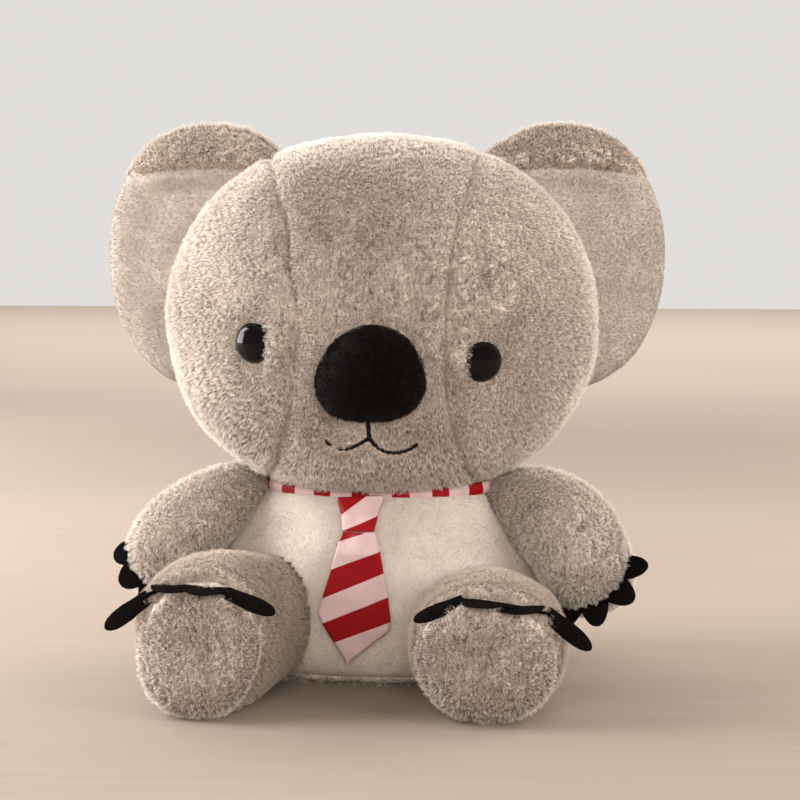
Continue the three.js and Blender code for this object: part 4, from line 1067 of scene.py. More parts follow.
for side, seed in (("l", 31), ("r", 37)):
    v, f, rel = leg_skin(side)
    cl = [(rel[q_].mean(1) > 0).astype(int) for q_ in f]
    ta = [np.zeros(len(v), bool), np.zeros(len(v), bool)]
    for i, q_ in enumerate(f):
        for kk in (0, 1):
            ta[kk][np.unique(q_[cl[i] == kk])] = True
    on = ta[0] & ta[1]
    v[on] -= (rel[on] / (LEG_DIR @ SOLE_N))[:, None] * LEG_DIR
    rel[on] = 0
    n = normals(v, f)
    d_s = np.abs(rel)
    ground = smooth(v[:, 2], 0.5, 14)
    disp_l = pile_relief(v + (0, 0, seed * 7.0), n, seed, 11.5, 0.9, 1.7, 0.35) * ground
    disp_l -= 2.6 * bell(d_s, 3.0) * ground + 0.9 * bell(d_s, 11) * ground
    # the foot puffs forward over the claws, and its sole sags towards the floor
    disp_l += 2.4 * bell(rel + 7, 6) * smooth(v[:, 2], 55, 85)
    v = v + n * (disp_l + 0.4)[:, None]
    v += LEG_DIR * (FOOT_SHAPE[side][3] * smooth(rel, -26, 12) * (1 - smooth(v[:, 2], 4, 66)))[:, None]
    v[:, 2] = np.maximum(v[:, 2], 0.25)
    v = leg_place(v, side)
    if side == "r":
        f = [q_[:, ::-1] for q_ in f]
    n = normals(v, f)
    where = smooth(v[:, 2], 1.2, 4.0) * smooth(-v[:, 1], 84, 96)
    by_claws = bell(d_s, 5.5) * smooth(v[:, 2], 58, 74)
    length = 0.45 + 0.55 * smooth(d_s, 0.5, 5)
    for want, cad, mat, hair, slot_, dens, ln in ((0, f"leg_upper_panel_{side}", mat_pale, hair_pale, "fur_grey", 1.4, 4.6),
                                                  (1, f"foot_sole_panel_{side}", mat_sole, hair_sole, "fur_sole", 1.7, 5.0)):
        ob, outer, idx = panel(cad + "_plush", [cad], "leg_" + side, v, n, f, cl, want)
        ob.data.materials.append(mat)
        kept = where if want == 0 else where * (1 - np.clip(1.6 * by_claws, 0, 1))
        strands += grow(ob, hair, ln, dens, 0.28, kept[idx] * outer, length[idx], seed + want,
                        lean=(0, 0, -0.2) if want == 0 else (0, 0, -0.06))

# --------------------------------------------------------------------- ears


def ear_skin(t=0.0, around=210, steps=110):
    a = np.linspace(0, 2 * math.pi, around, endpoint=False)
    fine = np.linspace(0.004, math.pi - 0.004, 1600)

    def shape(ph, th):
        x, y, z = np.sin(ph) * np.cos(th), -np.cos(ph), np.sin(ph) * np.sin(th)
        k_ = (np.abs(x) ** 2.15 + np.abs(z) ** 2.15 + np.abs(y) ** 2.6) ** (-1 / 2.2)
        return np.stack([x * k_ * (EAR_W + t), y * k_ * (EAR_T + t), z * k_ * (EAR_H + t)], -1)

    walk = shape(fine, 0.3)
    run = np.concatenate([[0], np.cumsum(np.linalg.norm(np.diff(walk, axis=0), axis=1))])
    ph = np.interp(np.linspace(0, run[-1], steps), run, fine)
    rings = np.stack([shape(p_, a) for p_ in ph[1:-1]])
    return loft(rings, first=shape(np.array([0.0]), 0.0)[0], last=shape(np.array([math.pi]), 0.0)[0])


def ear_to_head(v, sx):
    c, s_ = math.cos(EAR_SWEEP), math.sin(EAR_SWEEP)
    p = np.stack([c * v[:, 0] - s_ * v[:, 1], s_ * v[:, 0] + c * v[:, 1], v[:, 2]], 1) + EAR_C
    return p * np.array([sx, 1, 1.0])


def flap_edge(x):
    return EAR_FLAP_Z - 0.0012 * x * x


ev, ef = ear_skin()
en = normals(ev, ef)
for side, sx, seed in (("l", 1, 51), ("r", -1, 57)):
    v = ev.copy()
    rim = ((np.abs(v[:, 0]) / EAR_W) ** 2.25 + (np.abs(v[:, 2]) / EAR_H) ** 2.25) ** (1 / 2.25)
    flap = v[:, 2] - flap_edge(v[:, 0])                    # above zero on the rolled-over top
    facing = v[:, 1] < 0
    inner_face = facing & (rim < 0.90) & (flap < 0)
    cl = []
    for q_ in ef:
        c = v[q_].mean(1)
        r_ = ((np.abs(c[:, 0]) / (EAR_W - 5)) ** 2.25 + (np.abs(c[:, 2]) / (EAR_H - 5)) ** 2.25)
        cl.append(((c[:, 1] < 2.5) & (c[:, 2] < flap_edge(c[:, 0]))).astype(int))
    d_flap = np.where(facing, np.abs(flap), 99.0)
    n = en
    noise_at = v * np.array([sx, 1, 1]) + (0, 0, 40 * sx)
    disp_e = np.where(facing & (flap < 0), 1.3 * fbm(noise_at / 40.0, 2, seed) + 0.3 * fbm(noise_at / 12.0, 2, seed + 1),
                      pile_relief(noise_at, n, seed + 2, 11.0, 0.9, 1.5, 0.3))
    dish = smooth(1 - rim, 0.0, 0.45)
    disp_e -= np.where(facing & (flap < 0), 6.5 * dish * smooth(-flap, 0, 20), 0)
    middle = smooth(1 - rim, 0.0, 0.16)
    disp_e += np.where(facing & (flap >= 0), 5.5 * middle * smooth(flap, 0.0, 5.0) * (1 - 0.55 * smooth(flap, 8, 34)), 0)
    disp_e -= np.where(facing & (flap < 0), 2.4 * middle * bell(flap, 5.0), 0)
    # soft folds that run from the sewn edge into the ear
    base_x = v[:, 0] + 60
    disp_e -= np.where(facing & (flap < 0), 1.2 * bell(v[:, 2] + 18 + 0.25 * base_x, 7) * bell(base_x, 60), 0)
    v = v + n * disp_e[:, None]
    hv_ = ear_to_head(v, sx)
    inside = head_level(hv_, 0.8) < 1
    open_f, open_l = [], []
    fl = ef if sx > 0 else [q_[:, ::-1] for q_ in ef]
    for i, q_ in enumerate(fl):
        ok = ~inside[q_].all(1)
        open_f.append(q_[ok])
        open_l.append(cl[i][ok])
    # what still dips into the head is drawn out to its surface
    p = hv_ - HEAD_C
    lev = head_level(hv_, 0.8)
    dipped = lev < 1
    hv_[dipped] = HEAD_C + p[dipped] / lev[dipped][:, None]
    w = head_world(hv_)
    nw = normals(w, fl)
    gap = (head_level(hv_, 0.0) - 1) * 150
    rolled = rim_d = None
    for want, cad, mat, hair, slot_, dens, ln, thick in (
            (1, f"ear_inner_{side}", mat_cream, hair_cream, "fur_white", 1.4, 1.5, 0.24),
            (0, f"ear_back_{side}", mat_sole, hair_ear, "fur_grey", 1.2, 4.6, 0.30)):
        ob, outer, idx = panel(cad + "_plush", [cad], "ear_" + side, w, nw, open_f, open_l, want, thick=2.2)
        ob.data.materials.append(mat)
        where = smooth(gap[idx], 0.5, 4) * outer
        length = 0.5 + 0.5 * smooth(d_flap[idx], 0, 5)
        strands += grow(ob, hair, ln, dens, thick, where, length, seed + want, lean=(0, 0, -0.25) if want else (0, -0.15, 0.1))

# ----------------------------------------------------- stuffing, all inside


def lumps(v, faces, seed, inset, amp=1.2):
    n = normals(v, faces)
    return v + n * (amp * fbm(v / 16.0, 3, seed) - inset)[:, None]


def stuffing(name, body, v, faces):
    ob = put_mesh(name + "_fibre", v, faces)
    ob.data.materials.append(mat_fibre)
    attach(ob, body)
    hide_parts(name)
    return ob


sv0, sf0 = cube_ball(30)
ss = (np.abs(sv0) ** HEAD_POWER).sum(1) ** (-1 / HEAD_POWER)
hfill = HEAD_C + sv0 * ss[:, None] * (HEAD_HALF - 11.5)
hfill = lumps(hfill, sf0, 91, 0.0)
near_neck = np.linalg.norm(hfill, axis=1)
hfill = np.where((near_neck < 50)[:, None], hfill / near_neck[:, None] * 50, hfill)
for side, (p_, g_) in eye_at.items():
    d_ = np.linalg.norm(hfill - p_, axis=1)
    hfill = hfill - g_ * (7.0 * bell(d_, 20))[:, None]
stuffing("head_stuffing", "head", head_world(hfill), sf0)

trows = along_chord([[7, 0, 0, 0], [7, 98, 70, 74]] + [[z, a - 13, f_ - 13, b_ - 13] for z, a, f_, b_ in TORSO[1:-3] if z > 7] + [[145, 60, 45, 45], [147, 0, 0, 0]], 34, (1, 1, 0.6, 0.6))
trings = np.stack([superring(max(a, 0.5), max((yf + yb) / 2, 0.5), (yb - yf) / 2, z, TORSO_POWER, 72) for z, a, yf, yb in trows[1:-1]])
sv, sf = loft(trings, first=(0, 2, 7), last=(0, 0, 147))
sv = lumps(sv, sf, 92, 0.0)
sl_ = head_local(sv)
push = np.linalg.norm(sv - NECK, axis=1)
sv = np.where((push < 50)[:, None], NECK + (sv - NECK) / push[:, None] * 50, sv)
for _ in range(2):
    lev = head_level(head_local(sv) - np.array([0, 4, 0]), 14)
    low = (lev < 1) & (sv[:, 2] > 100)
    sv[low, 2] -= (1 - lev[low]) * 150
gap_ = arm_gap(sv)
sv[:, 0] -= np.sign(sv[:, 0]) * np.maximum(0, 4 - gap_)
lv = leg_gap(sv, 4)
inl = lv < 1
sv[inl, 1] += (1 - lv[inl]) * 46
stuffing("torso_stuffing", "torso", sv, sf)

nv, nf = cube_ball(16)
stuffing("neck_stuffing", "neck", lumps(nv * 45 + NECK, nf, 93, 0.0, 0.8), nf)
for side, sx in (("l", 1), ("r", -1)):
    line = arm_axis(18, ARM_SEEN[side])
    line[:, 3] -= 9.5
    v, f = tube_with_ends(line, 40, 5)
    v = lumps(v, f, 94, 0.0)
    if sx < 0:
        v, f = mirrored(v, f)
    stuffing(f"arm_stuffing_{side}", "arm_" + side, v, f)
    v, f, rel = leg_skin(side, 40, 56, -11.0)
    v = lumps(v, f, 95, 0.0)
    v -= np.clip(rel * 0.5, 0, 30)[:, None] * SOLE_N
    v[:, 1] = np.clip(v[:, 1], -207, -17)
    v[:, 2] = np.maximum(v[:, 2], 9)
    v = leg_place(v, side)
    if side == "r":
        f = [q_[:, ::-1] for q_ in f]
    stuffing(f"leg_stuffing_{side}", "leg_" + side, v, f)
    v, f = ear_skin(-9.5, 64, 34)
    v[:, 1] *= 0.62
    v[:, 1] += 3.0
    v = lumps(v, f, 96, 0.0, 0.6)
    hv_ = ear_to_head(v, sx)
    lev = head_level(hv_, 6.5)
    low = lev < 1
    hv_[low] = HEAD_C + (hv_[low] - HEAD_C) / lev[low][:, None]
    f = f if sx > 0 else [q_[:, ::-1] for q_ in f]
    stuffing(f"ear_stuffing_{side}", "ear_" + side, head_world(hv_), f)

# ------------------------------------------------------------- eyes, washers


def lathe(profile, around, p, g):
    """A turned shape on the axis g through p; the profile is radius, height."""
    g = g / np.linalg.norm(g)
    a = np.cross(g, [0, 0, 1.0])
    a /= np.linalg.norm(a)
    b = np.cross(g, a)
    t = np.linspace(0, 2 * math.pi, around, endpoint=False)
    rings = [p + g * h + r * (np.cos(t)[:, None] * a + np.sin(t)[:, None] * b) for r, h in profile]
    return np.array(rings), p + g * profile[0][1], p + g * profile[-1][1]


for side, (p_, g_) in eye_at.items():
    p_, g_ = p_[0], g_[0]
    prof = [(2.2, -14.0), (3.0, -13.0), (3.0, -6.0), (3.0, 0.4), (12.0, 0.5), (14.2, 0.6), (14.8, 1.1), (15.0, 1.9), (14.9, 2.7), (14.5, 3.3), (14.05, 3.6), (13.75, 4.05)]
    prof += [(13.75 * math.cos(a_), 4.05 + 6.1 * math.sin(a_)) for a_ in np.linspace(0.06, 1.53, 16)]
    prof = [(r_ * 1.05 if r_ > 10 else r_, h_) for r_, h_ in prof]
    rings, lo_, hi_ = lathe(prof, 64, p_, g_)
    v, f = loft(rings, first=p_ + g_ * -14.0, last=p_ + g_ * 10.15)
    ob = put_mesh(f"eye_{side}_dome", head_world(v), f)
    ob.data.materials.append(mat_eye)
    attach(ob, "head")
    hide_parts(f"eye_{side}")
    prof = [(3.4, -8.4), (6.0, -8.6), (12.4, -8.5), (13.0, -8.0), (12.8, -7.2), (8.0, -6.7), (5.0, -6.1), (3.6, -5.9), (3.35, -6.4)]
    rings, lo_, hi_ = lathe(prof, 48, p_, g_)
    rings = np.concatenate([rings, rings[:1]])
    r, nn = rings.shape[:2]
    v = rings[:-1].reshape(-1, 3)
    i, j = np.meshgrid(np.arange(r - 1), np.arange(nn), indexing="ij")
    k2, i2 = (j + 1) % nn, (i + 1) % (r - 1)
    quads = np.stack([i * nn + j, i * nn + k2, i2 * nn + k2, i2 * nn + j], -1).reshape(-1, 4)
    f = outward(v, [quads])
    ob = put_mesh(f"eye_washer_{side}_ring", head_world(v), f)
    ob.data.materials.append(mat_washer)
    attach(ob, "head")
    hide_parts(f"eye_washer_{side}")

# --------------------------------------------------------------------- nose

face_y = on_face(*NOSE_C)[0][0][1]


def nose_skin(t=0.0, around=150, steps=52, last=1.78, back=5.0):
    a = np.linspace(0, 2 * math.pi, around, endpoint=False)
    rad = nose_radius((a + math.pi) % (2 * math.pi) - math.pi) + t
    rings = []
    for ph in np.linspace(0.03, last, steps):
        rho = math.sin(min(ph, math.pi - 0.02)) ** 0.92
        y = face_y + back - math.cos(ph) * (NOSE_DEPTH + t)
        rings.append(np.stack([NOSE_C[0] + np.cos(a) * rad * rho, np.full(around, y), NOSE_C[1] + np.sin(a) * rad * rho], 1))
    return loft(np.array(rings), first=(NOSE_C[0], face_y + back - NOSE_DEPTH - t, NOSE_C[1]),
                last=(NOSE_C[0], face_y + back - math.cos(last) * (NOSE_DEPTH + t), NOSE_C[1]))


v, f = nose_skin()
n = normals(v, f)
ahead = smooth(-(v[:, 1] - face_y), -6, 2)
v = v + n * ((0.5 * fbm(v / 12.0, 3, 81) + 0.16 * vnoise(v / 2.6, 82)) * ahead)[:, None]
v[:, 1] += 0
ob = put_mesh("nose_cover_plush", head_world(v), f)
ob.data.materials.append(mat_nose)
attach(ob, "head")
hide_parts("nose_cover")
strands += grow(ob, hair_black, 1.6, 1.6, 0.34, ahead, np.ones(len(v)), 83, lean=(0, 0, -0.3), clump=0.1, children=12)
v, f = nose_skin(-4.0, 60, 22, 1.3, 4.0)
ob = stuffing("nose_stuffing", "head", head_world(v), f)

# -------------------------------------------------------------------- mouth


def sweep_stitch(a, b, radius, lift=0.9, bow=0.35):
    """One thick stitch between two places on the face: it enters and leaves the cloth."""
    ts = np.linspace(0, 1, 9)
    xs = a[0] + (b[0] - a[0]) * ts
    zs = a[1] + (b[1] - a[1]) * ts
    up = np.sin(ts * math.pi) ** 0.5
    p, g = on_face(xs, zs)
    p = p + g * (lift * up - 1.0)[:, None]
    d = np.gradient(p, axis=0)
    d /= np.linalg.norm(d, axis=1)[:, None]
    u = np.cross(d, g)
    u /= np.linalg.norm(u, axis=1)[:, None]
    w = np.cross(u, d)
    t = np.linspace(0, 2 * math.pi, 12, endpoint=False)
    r = radius * (0.45 + 0.55 * np.sin(np.clip(ts, 0.06, 0.94) * math.pi) ** 0.4)
    rings = np.stack([p[k_] + r[k_] * (np.cos(t)[:, None] * u[k_] + np.sin(t)[:, None] * w[k_] * 0.85) for k_ in range(len(ts))])
    return loft(rings, first=p[0] - d[0] * 0.4, last=p[-1] + d[-1] * 0.4)


mouth_v, mouth_q, mouth_t, count = [], [], [], 0
for part in MOUTH:
    pts = np.array(part, float)
    at = np.concatenate([[0], np.cumsum(np.linalg.norm(np.diff(pts, axis=0), axis=1))])
    n_st = max(1, int(round(at[-1] / 4.4)))
    cut = np.linspace(0, at[-1], n_st + 1)
    xy = pchip(at, pts, cut)
    for k_ in range(n_st):
        a_, b_ = xy[k_], xy[k_ + 1]
        dirn = (b_ - a_) / np.linalg.norm(b_ - a_)
        side_ = np.array([-dirn[1], dirn[0]]) * 0.35
        v, f = sweep_stitch(a_ - dirn * 0.8 - side_, b_ + dirn * 0.8 + side_, 1.9, 2.3)
        mouth_v.append(v)
        for q_ in f:
            (mouth_q if q_.shape[1] == 4 else mouth_t).append(q_ + count)
        count += len(v)
ob = put_mesh("mouth_stitching_thread", head_world(np.concatenate(mouth_v)), [np.concatenate(mouth_q), np.concatenate(mouth_t)])
ob.data.materials.append(mat_thread)
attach(ob, "head")
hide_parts("mouth_stitching")

# ---------------------------------------------------------------- felt claws


def felt_leaf(root, tip, width, up, thick=2.4, droop=0.0, cup=0.0, around=28, steps=20, seed=0, curl=0.0, root_w=0.62, pointed=False):
    """A cut felt claw: a rounded leaf from root to tip, lens-shaped in section, bent a little."""
    root, tip, up = (np.asarray(x, float) for x in (root, tip, up))
    d = tip - root
    length = np.linalg.norm(d)
    d = d / length
    up = up - d * (up @ d)
    up /= np.linalg.norm(up)
    sidew = np.cross(d, up)
    ts = np.linspace(0, 1, steps)
    ts = 1 - (1 - ts) ** 1.5
    rings = []
    a = np.linspace(0, 2 * math.pi, around, endpoint=False)
    for t_ in ts[:-1]:
        w = np.interp(t_, [0, 0.25, 0.5, 0.7, 0.85, 0.95, 1], [1.0, 0.93, 0.80, 0.65, 0.49, 0.30, 0.08] if pointed else
                      [root_w, max(root_w, 0.85), 0.98, 0.95, 0.78, 0.50, 0.14]) * width / 2
        th = thick / 2 * min(1.0, 0.35 + 2.2 * (1 - t_))
        mid = root + d * length * t_ - up * droop * length * t_ * t_ + sidew * curl * length * t_ * t_
        x = np.cos(a) * w
        y = np.sign(np.sin(a)) * np.abs(np.sin(a)) ** (0.9 if pointed else 0.45) * th
        y = y + cup * (x / max(w, 0.1)) ** 2 * -1.0
        rings.append(mid + x[:, None] * sidew + y[:, None] * up)
    end = root + d * length - up * droop * length + sidew * curl * length
    v, f = loft(np.array(rings), first=rings[0].mean(0), last=end)
    nrm = normals(v, f)
    return v + nrm * (0.22 * fbm(v / 3.0, 2, seed))[:, None], f


def felt_band(points, out, up, thick=2.4, deep=(-5.0, 4.0), seed=0):
    """The strip that carries the claws, caught in the seam."""
    points, out, up = np.asarray(points, float), np.asarray(out, float), np.asarray(up, float)
    around = 20
    a = np.linspace(0, 2 * math.pi, around, endpoint=False)
    half = (deep[1] - deep[0]) / 2
    rings = []
    for p, o, u in zip(points, out, up):
        mid = p + o * (deep[0] + half)
        x = np.sign(np.cos(a)) * np.abs(np.cos(a)) ** 0.6 * half
        y = np.sign(np.sin(a)) * np.abs(np.sin(a)) ** 0.6 * thick / 2
        rings.append(mid + x[:, None] * o + y[:, None] * u)
    v, f = loft(np.array(rings), first=rings[0].mean(0), last=rings[-1].mean(0))
    nrm = normals(v, f)
    return v + nrm * (0.2 * fbm(v / 3.0, 2, seed))[:, None], f


def joined(parts):
    vs, qs, ts_, c_ = [], [], [], 0
    for v, f in parts:
        vs.append(v)
        for q_ in f:
            (qs if q_.shape[1] == 4 else ts_).append(q_ + c_)
        c_ += len(v)
    return np.concatenate(vs), [np.concatenate(qs), np.concatenate(ts_)]


def claws(name, body, parts):
    v, f = joined(parts)
    ob = put_mesh(name + "_felt", v, f)
    ob.data.materials.append(mat_felt)
    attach(ob, body)
    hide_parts(name)
    return ob


def seam_point(u, side):
    """On the seam above the sole, u from the foot's middle, + outward."""
    squat, narrow, out_by, sag = FOOT_SHAPE[side]
    u = u / narrow
    table = np.array(LEG)
    if side == "r":
        z = 104.5 - 0.0045 * (u - 6) ** 2 - 0.013 * max(0.0, u - 26) ** 2
    else:
        z = 107 - 0.13 * (u + 10) - 0.0022 * u * u
    z = z * squat
    best = None
    for s_ in np.arange(100, 163, 0.5):
        w, h, c = (np.interp(s_, table[:, 0], table[:, k_]) for k_ in (1, 2, 3))
        p = np.array([HIP[0], HIP[1], 0]) + LEG_DIR * s_ - LEG_U * u
        p[2] = z
        rel_ = abs((p - SOLE_TOP) @ SOLE_N)
        lvl = ((abs(u) / w) ** 2.12 + (abs(z / squat - c) / h) ** 2.12) if w > 0.5 else 9
        miss = abs(lvl - 1)
        if best is None or miss < best[0]:
            best = (miss, p)
    return best[1] + LEG_U * u * (1 - narrow) - LEG_U * out_by


FOOT = {
    # root along the seam, then the claw's tip from its root: outward, forward, up, its width, whether it is pointed
    "r": [(42, (32, -7, -24), 14.5, False), (22, (4, -13, -1.0), 36.0, True), (-7, (-4, -15, -1.0), 36.0, True), (-23, (-38, -7, -12), 12.5, False)],
    "l": [(41, (33, -6, -26), 14.0, False), (22, (4, -12, -1.5), 38.0, True), (-6, (-3, -12, -1.0), 38.0, True), (-20, (-36, -7, -14), 11.5, False)],
}
for side in ("r", "l"):
    us = np.linspace(-27, 50, 30)
    pts = np.array([seam_point(u_, side) for u_ in us])
    pts = np.stack([np.convolve(np.pad(pts[:, k_], 3, mode="edge"), np.ones(7) / 7, "valid") for k_ in range(3)], 1)
    mid = np.array([HIP[0], HIP[1], 0]) + LEG_DIR * 112 + [0, 0, 60]
    out = pts - mid
    out[:, 2] = 0
    out /= np.linalg.norm(out, axis=1)[:, None]
    out[:, 2] = -0.10
    pts = pts + LEG_DIR * (5.0 * smooth(us, 24, 42))[:, None]
    up = np.tile([0, 0, 1.0], (len(pts), 1)) + out * 0.15
    parts = [felt_band(pts, out, up, 2.5, (-4.0, 5.6), 101)]
    for u0, (dx, dy, dz), wid, sharp in FOOT[side]:
        root = np.array([np.interp(u0, us, pts[:, k_]) for k_ in range(3)])
        o = np.array([np.interp(u0, us, out[:, k_]) for k_ in range(3)])
        reach = np.array([dx, dy, dz], float)
        side_on = abs(dx) > 12
        leaf_up = np.array([-0.25 * np.sign(dx), -0.9, 0.45]) if side_on else np.array([0.0, -0.12, 1.0])
        parts.append(felt_leaf(root + o * 0.2, root + o * 1.5 + reach, wid, leaf_up, 2.6, droop=0.04, cup=0.2 if sharp else 0.5, seed=int(103 + u0), root_w=0.8, pointed=sharp))
    parts = [(leg_place(v, side), outward(leg_place(v, side), f)) for v, f in parts]
    claws(f"foot_claws_{side}", "leg_" + side, parts)

# hands: the claws fan out in the arm's own seam
for side, sx in (("l", 1), ("r", -1)):
    flip = np.array([sx, 1, 1.0])
    hand_c = np.array(ARM_SEEN[side][4][:3])
    H = ARM_SEEN[side][4][3]
    # the felt of the right hand is bent back, away from the front
    back_bend = 0.0 if side == "l" else 0.85
    parts = []
    angs = np.radians(np.linspace(-46, 82, 26))
    out = np.array([math.cos(a_) * ARM_DIR + math.sin(a_) * CLAW_SIDE for a_ in angs])
    pts = hand_c + out * (H - 0.5)
    parts.append(felt_band(pts * flip, out * flip, np.tile(ARM_N, (len(pts), 1)) * flip, 2.4, (-4.0, 3.2), 121))
    for deg, ln, wid in ((-32, 17.0 if side == "l" else 10.5, 22.0), (1, 20.0 if side == "l" else 14.0, 23.5),
                         (34, 20.0 if side == "l" else 17.0, 23.5), (66, 18.0 if side == "l" else 16.0, 22.0)):
        a_ = math.radians(deg)
        o = math.cos(a_) * ARM_DIR + math.sin(a_) * CLAW_SIDE
        root = hand_c + o * (H + 1.0)
        reach = o + ARM_N * back_bend
        reach *= ln / np.linalg.norm(reach)
        parts.append(felt_leaf(root * flip, (root + reach) * flip, wid, ARM_N * flip, 2.5, droop=0.05, cup=0.3, seed=int(130 + deg), pointed=True))
    claws(f"arm_claws_{side}", "arm_" + side, parts)

# --------------------------------------------------------- neck band and tie


def ribbon(name, nodes_, body, rows_, thick, mat_):
    """A strip of cloth from rows of points across it; a closed thin sheet."""
    r, c = rows_.shape[:2]
    v = rows_.reshape(-1, 3)
    i, j = np.meshgrid(np.arange(r - 1), np.arange(c - 1), indexing="ij")
    quads = np.stack([i * c + j, i * c + j + 1, (i + 1) * c + j + 1, (i + 1) * c + j], -1).reshape(-1, 4)
    n = normals(v, [quads])
    mid = v.mean(0)
    if name.startswith("neck"):
        if ((v - mid) * n).sum() < 0:
            quads, n = quads[:, ::-1], -n
    elif n[:, 1].sum() > 0:
        quads, n = quads[:, ::-1], -n
    sv_, sf_ = cloth_shell(v, n, [quads], thick)
    ob_ = put_mesh(name, sv_, sf_)
    ob_.data.materials.append(mat_)
    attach(ob_, body)
    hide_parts(*nodes_)
    return ob_


def band_material():
    """Ribbon printed in straight bars across it, counted along its length."""
    m, t, out = new_material("ribbon_band")
    bs = t.nodes.new("ShaderNodeBsdfPrincipled")
    bs.inputs["Roughness"].default_value = 0.55
    bs.inputs["Specular IOR Level"].default_value = 0.2
    along = t.nodes.new("ShaderNodeAttribute")
    along.attribute_name = "along"
    frac = math_node(t, "FRACT", math_node(t, "ADD", along.outputs["Fac"], 20.0))
    col = ramp(t, frac, [(0.0, RIB_WHITE), (0.27, RIB_WHITE), (0.285, RED), (0.715, RED), (0.73, RIB_WHITE)])
    fleck = ramp(t, noise_tex(t, stretched(t, (1, 1, 1)), 90.0, 3.0), [(0.3, (0.85, 0.85, 0.85, 1)), (0.7, (1.05, 1.05, 1.05, 1))])
    t.links.new(mixed(t, "MULTIPLY", 1.0, col, fleck), bs.inputs["Base Color"])
    wave = t.nodes.new("ShaderNodeTexWave")
    wave.inputs["Scale"].default_value = 260.0
    t.links.new(stretched(t, (1, 1, 0.3), (0, 0.6, 0)), wave.inputs["Vector"])
    bm = t.nodes.new("ShaderNodeBump")
    bm.inputs["Strength"].default_value = 0.15
    bm.inputs["Distance"].default_value = 0.0002
    t.links.new(wave.outputs["Fac"], bm.inputs["Height"])
    t.links.new(bm.outputs["Normal"], bs.inputs["Normal"])
    t.links.new(bs.outputs[0], out.inputs["Surface"])
    return m


th = np.linspace(0, 2 * math.pi, 241)
c_, s_ = np.cos(th), np.sin(th)
side_up = np.abs(c_) ** 2.2
zc = 149.6 + 6.2 * side_up + 1.0 * (s_ > 0) * s_ + 2.4 * (s_ < 0) * (1 - side_up)
prof = torso_profile(np.clip(zc, 0, 152))
k_ = (np.abs(c_) ** TORSO_POWER + np.abs(s_) ** TORSO_POWER) ** (-1 / TORSO_POWER)
rows_ = []
for w_ in np.linspace(-1, 1, 9):
    grow_r = 1.6 + 0.7 * (1 - w_ * w_) + 0.5 * vnoise(np.stack([c_ * 6, s_ * 6, np.full(len(th), w_ * 0.7)], 1), 141) - 2.2 * max(w_, 0) * (1 - side_up)
    half_y = (prof[:, 1] + prof[:, 2]) / 2 + grow_r
    rows_.append(np.stack([(prof[:, 0] + grow_r) * c_ * k_, (prof[:, 2] - prof[:, 1]) / 2 + half_y * s_ * k_, zc + w_ * 5.2], 1))
rows_ = np.array(rows_)
band = ribbon("neck_band_ribbon", ["neck_band"], "torso", rows_, 0.7, band_material())
run = np.concatenate([[0], np.cumsum(np.linalg.norm(np.diff(rows_[4], axis=0), axis=1))])
length_ = float(run[-1])
# one bar is centred where the knot lies over it
under = int(np.argmin(np.abs(rows_[4][:, 0] + 11) + (rows_[4][:, 1] > 0) * 999))
bars = (run - run[under]) / (length_ / 18) + 0.5
bars = np.tile(np.tile(bars, len(rows_)), 2)
band.data.attributes.new("along", "FLOAT", "POINT").data.foreach_set("value", bars.astype(np.float32))

# knot: a wrap of the same satin, wider at the top, pinched below
mat_knot = satin_material("satin_knot", [(-1.0, 0.0), (0.1357, 0.404), (0.1561, 0.735)], RED, RIB_WHITE)
rings = []
a = np.linspace(0, 2 * math.pi, 64, endpoint=False)
for t_ in np.linspace(0, 1, 30):
    z = 126.3 + 25.7 * t_
    half = np.interp(t_, [0, 0.12, 0.5, 0.85, 1.0], [12.4, 13.2, 15.0, 18.0, 18.2])
    deep = np.interp(t_, [0, 0.15, 0.5, 0.85, 1.0], [3.0, 4.6, 5.6, 4.6, 3.0])
    x = np.sign(np.cos(a)) * np.abs(np.cos(a)) ** 0.7 * half
    y = np.sign(np.sin(a)) * np.abs(np.sin(a)) ** 0.8 * deep
    fold = 0.55 * np.sin(x / 3.4 + t_ * 3.0) * (y < 0) * np.sin(math.pi * t_)
    base_y = -93 - (t_ * 2 - 1) * -3.4 - 7.0 * (1 - smooth(np.array([t_]), 0.0, 0.5)[0])
    rings.append(np.stack([-9.5 + x, base_y + y + fold - 0.6, z + 0.9 * np.sin(x / 9.0) * min(1.0, 3 * t_)], 1))
v, f = loft(np.array(rings), first=(-8.9, -93 - 3.4 - 7.0, 125.9), last=(-9.5, -93 + 3.4, 152.2))
inner_side = torso_profile(np.clip(v[:, 2], 0, 160))
surf = -(inner_side[:, 1]) - 1.8
flatness = np.maximum(0, v[:, 1] - surf)
v[:, 1] -= flatness
ob = put_mesh("tie_knot_satin", v, f)
ob.data.materials.append(mat_knot)
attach(ob, "torso")
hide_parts("tie_knot")

# blade: folded satin, its edges turned under, hanging over the belly
BLADE_STRIPES = [(0.0498, 0.389), (0.0697, 0.417), (0.0899, 0.433), (0.1086, 0.377), (0.1269, 0.334)]
mat_blade = satin_material("satin_blade", BLADE_STRIPES, RED, RIB_WHITE)


def edge_at(line, z):
    pts = sorted([(b, a_) for a_, b in line])
    return np.interp(z, [p[0] for p in pts], [p[1] for p in pts])


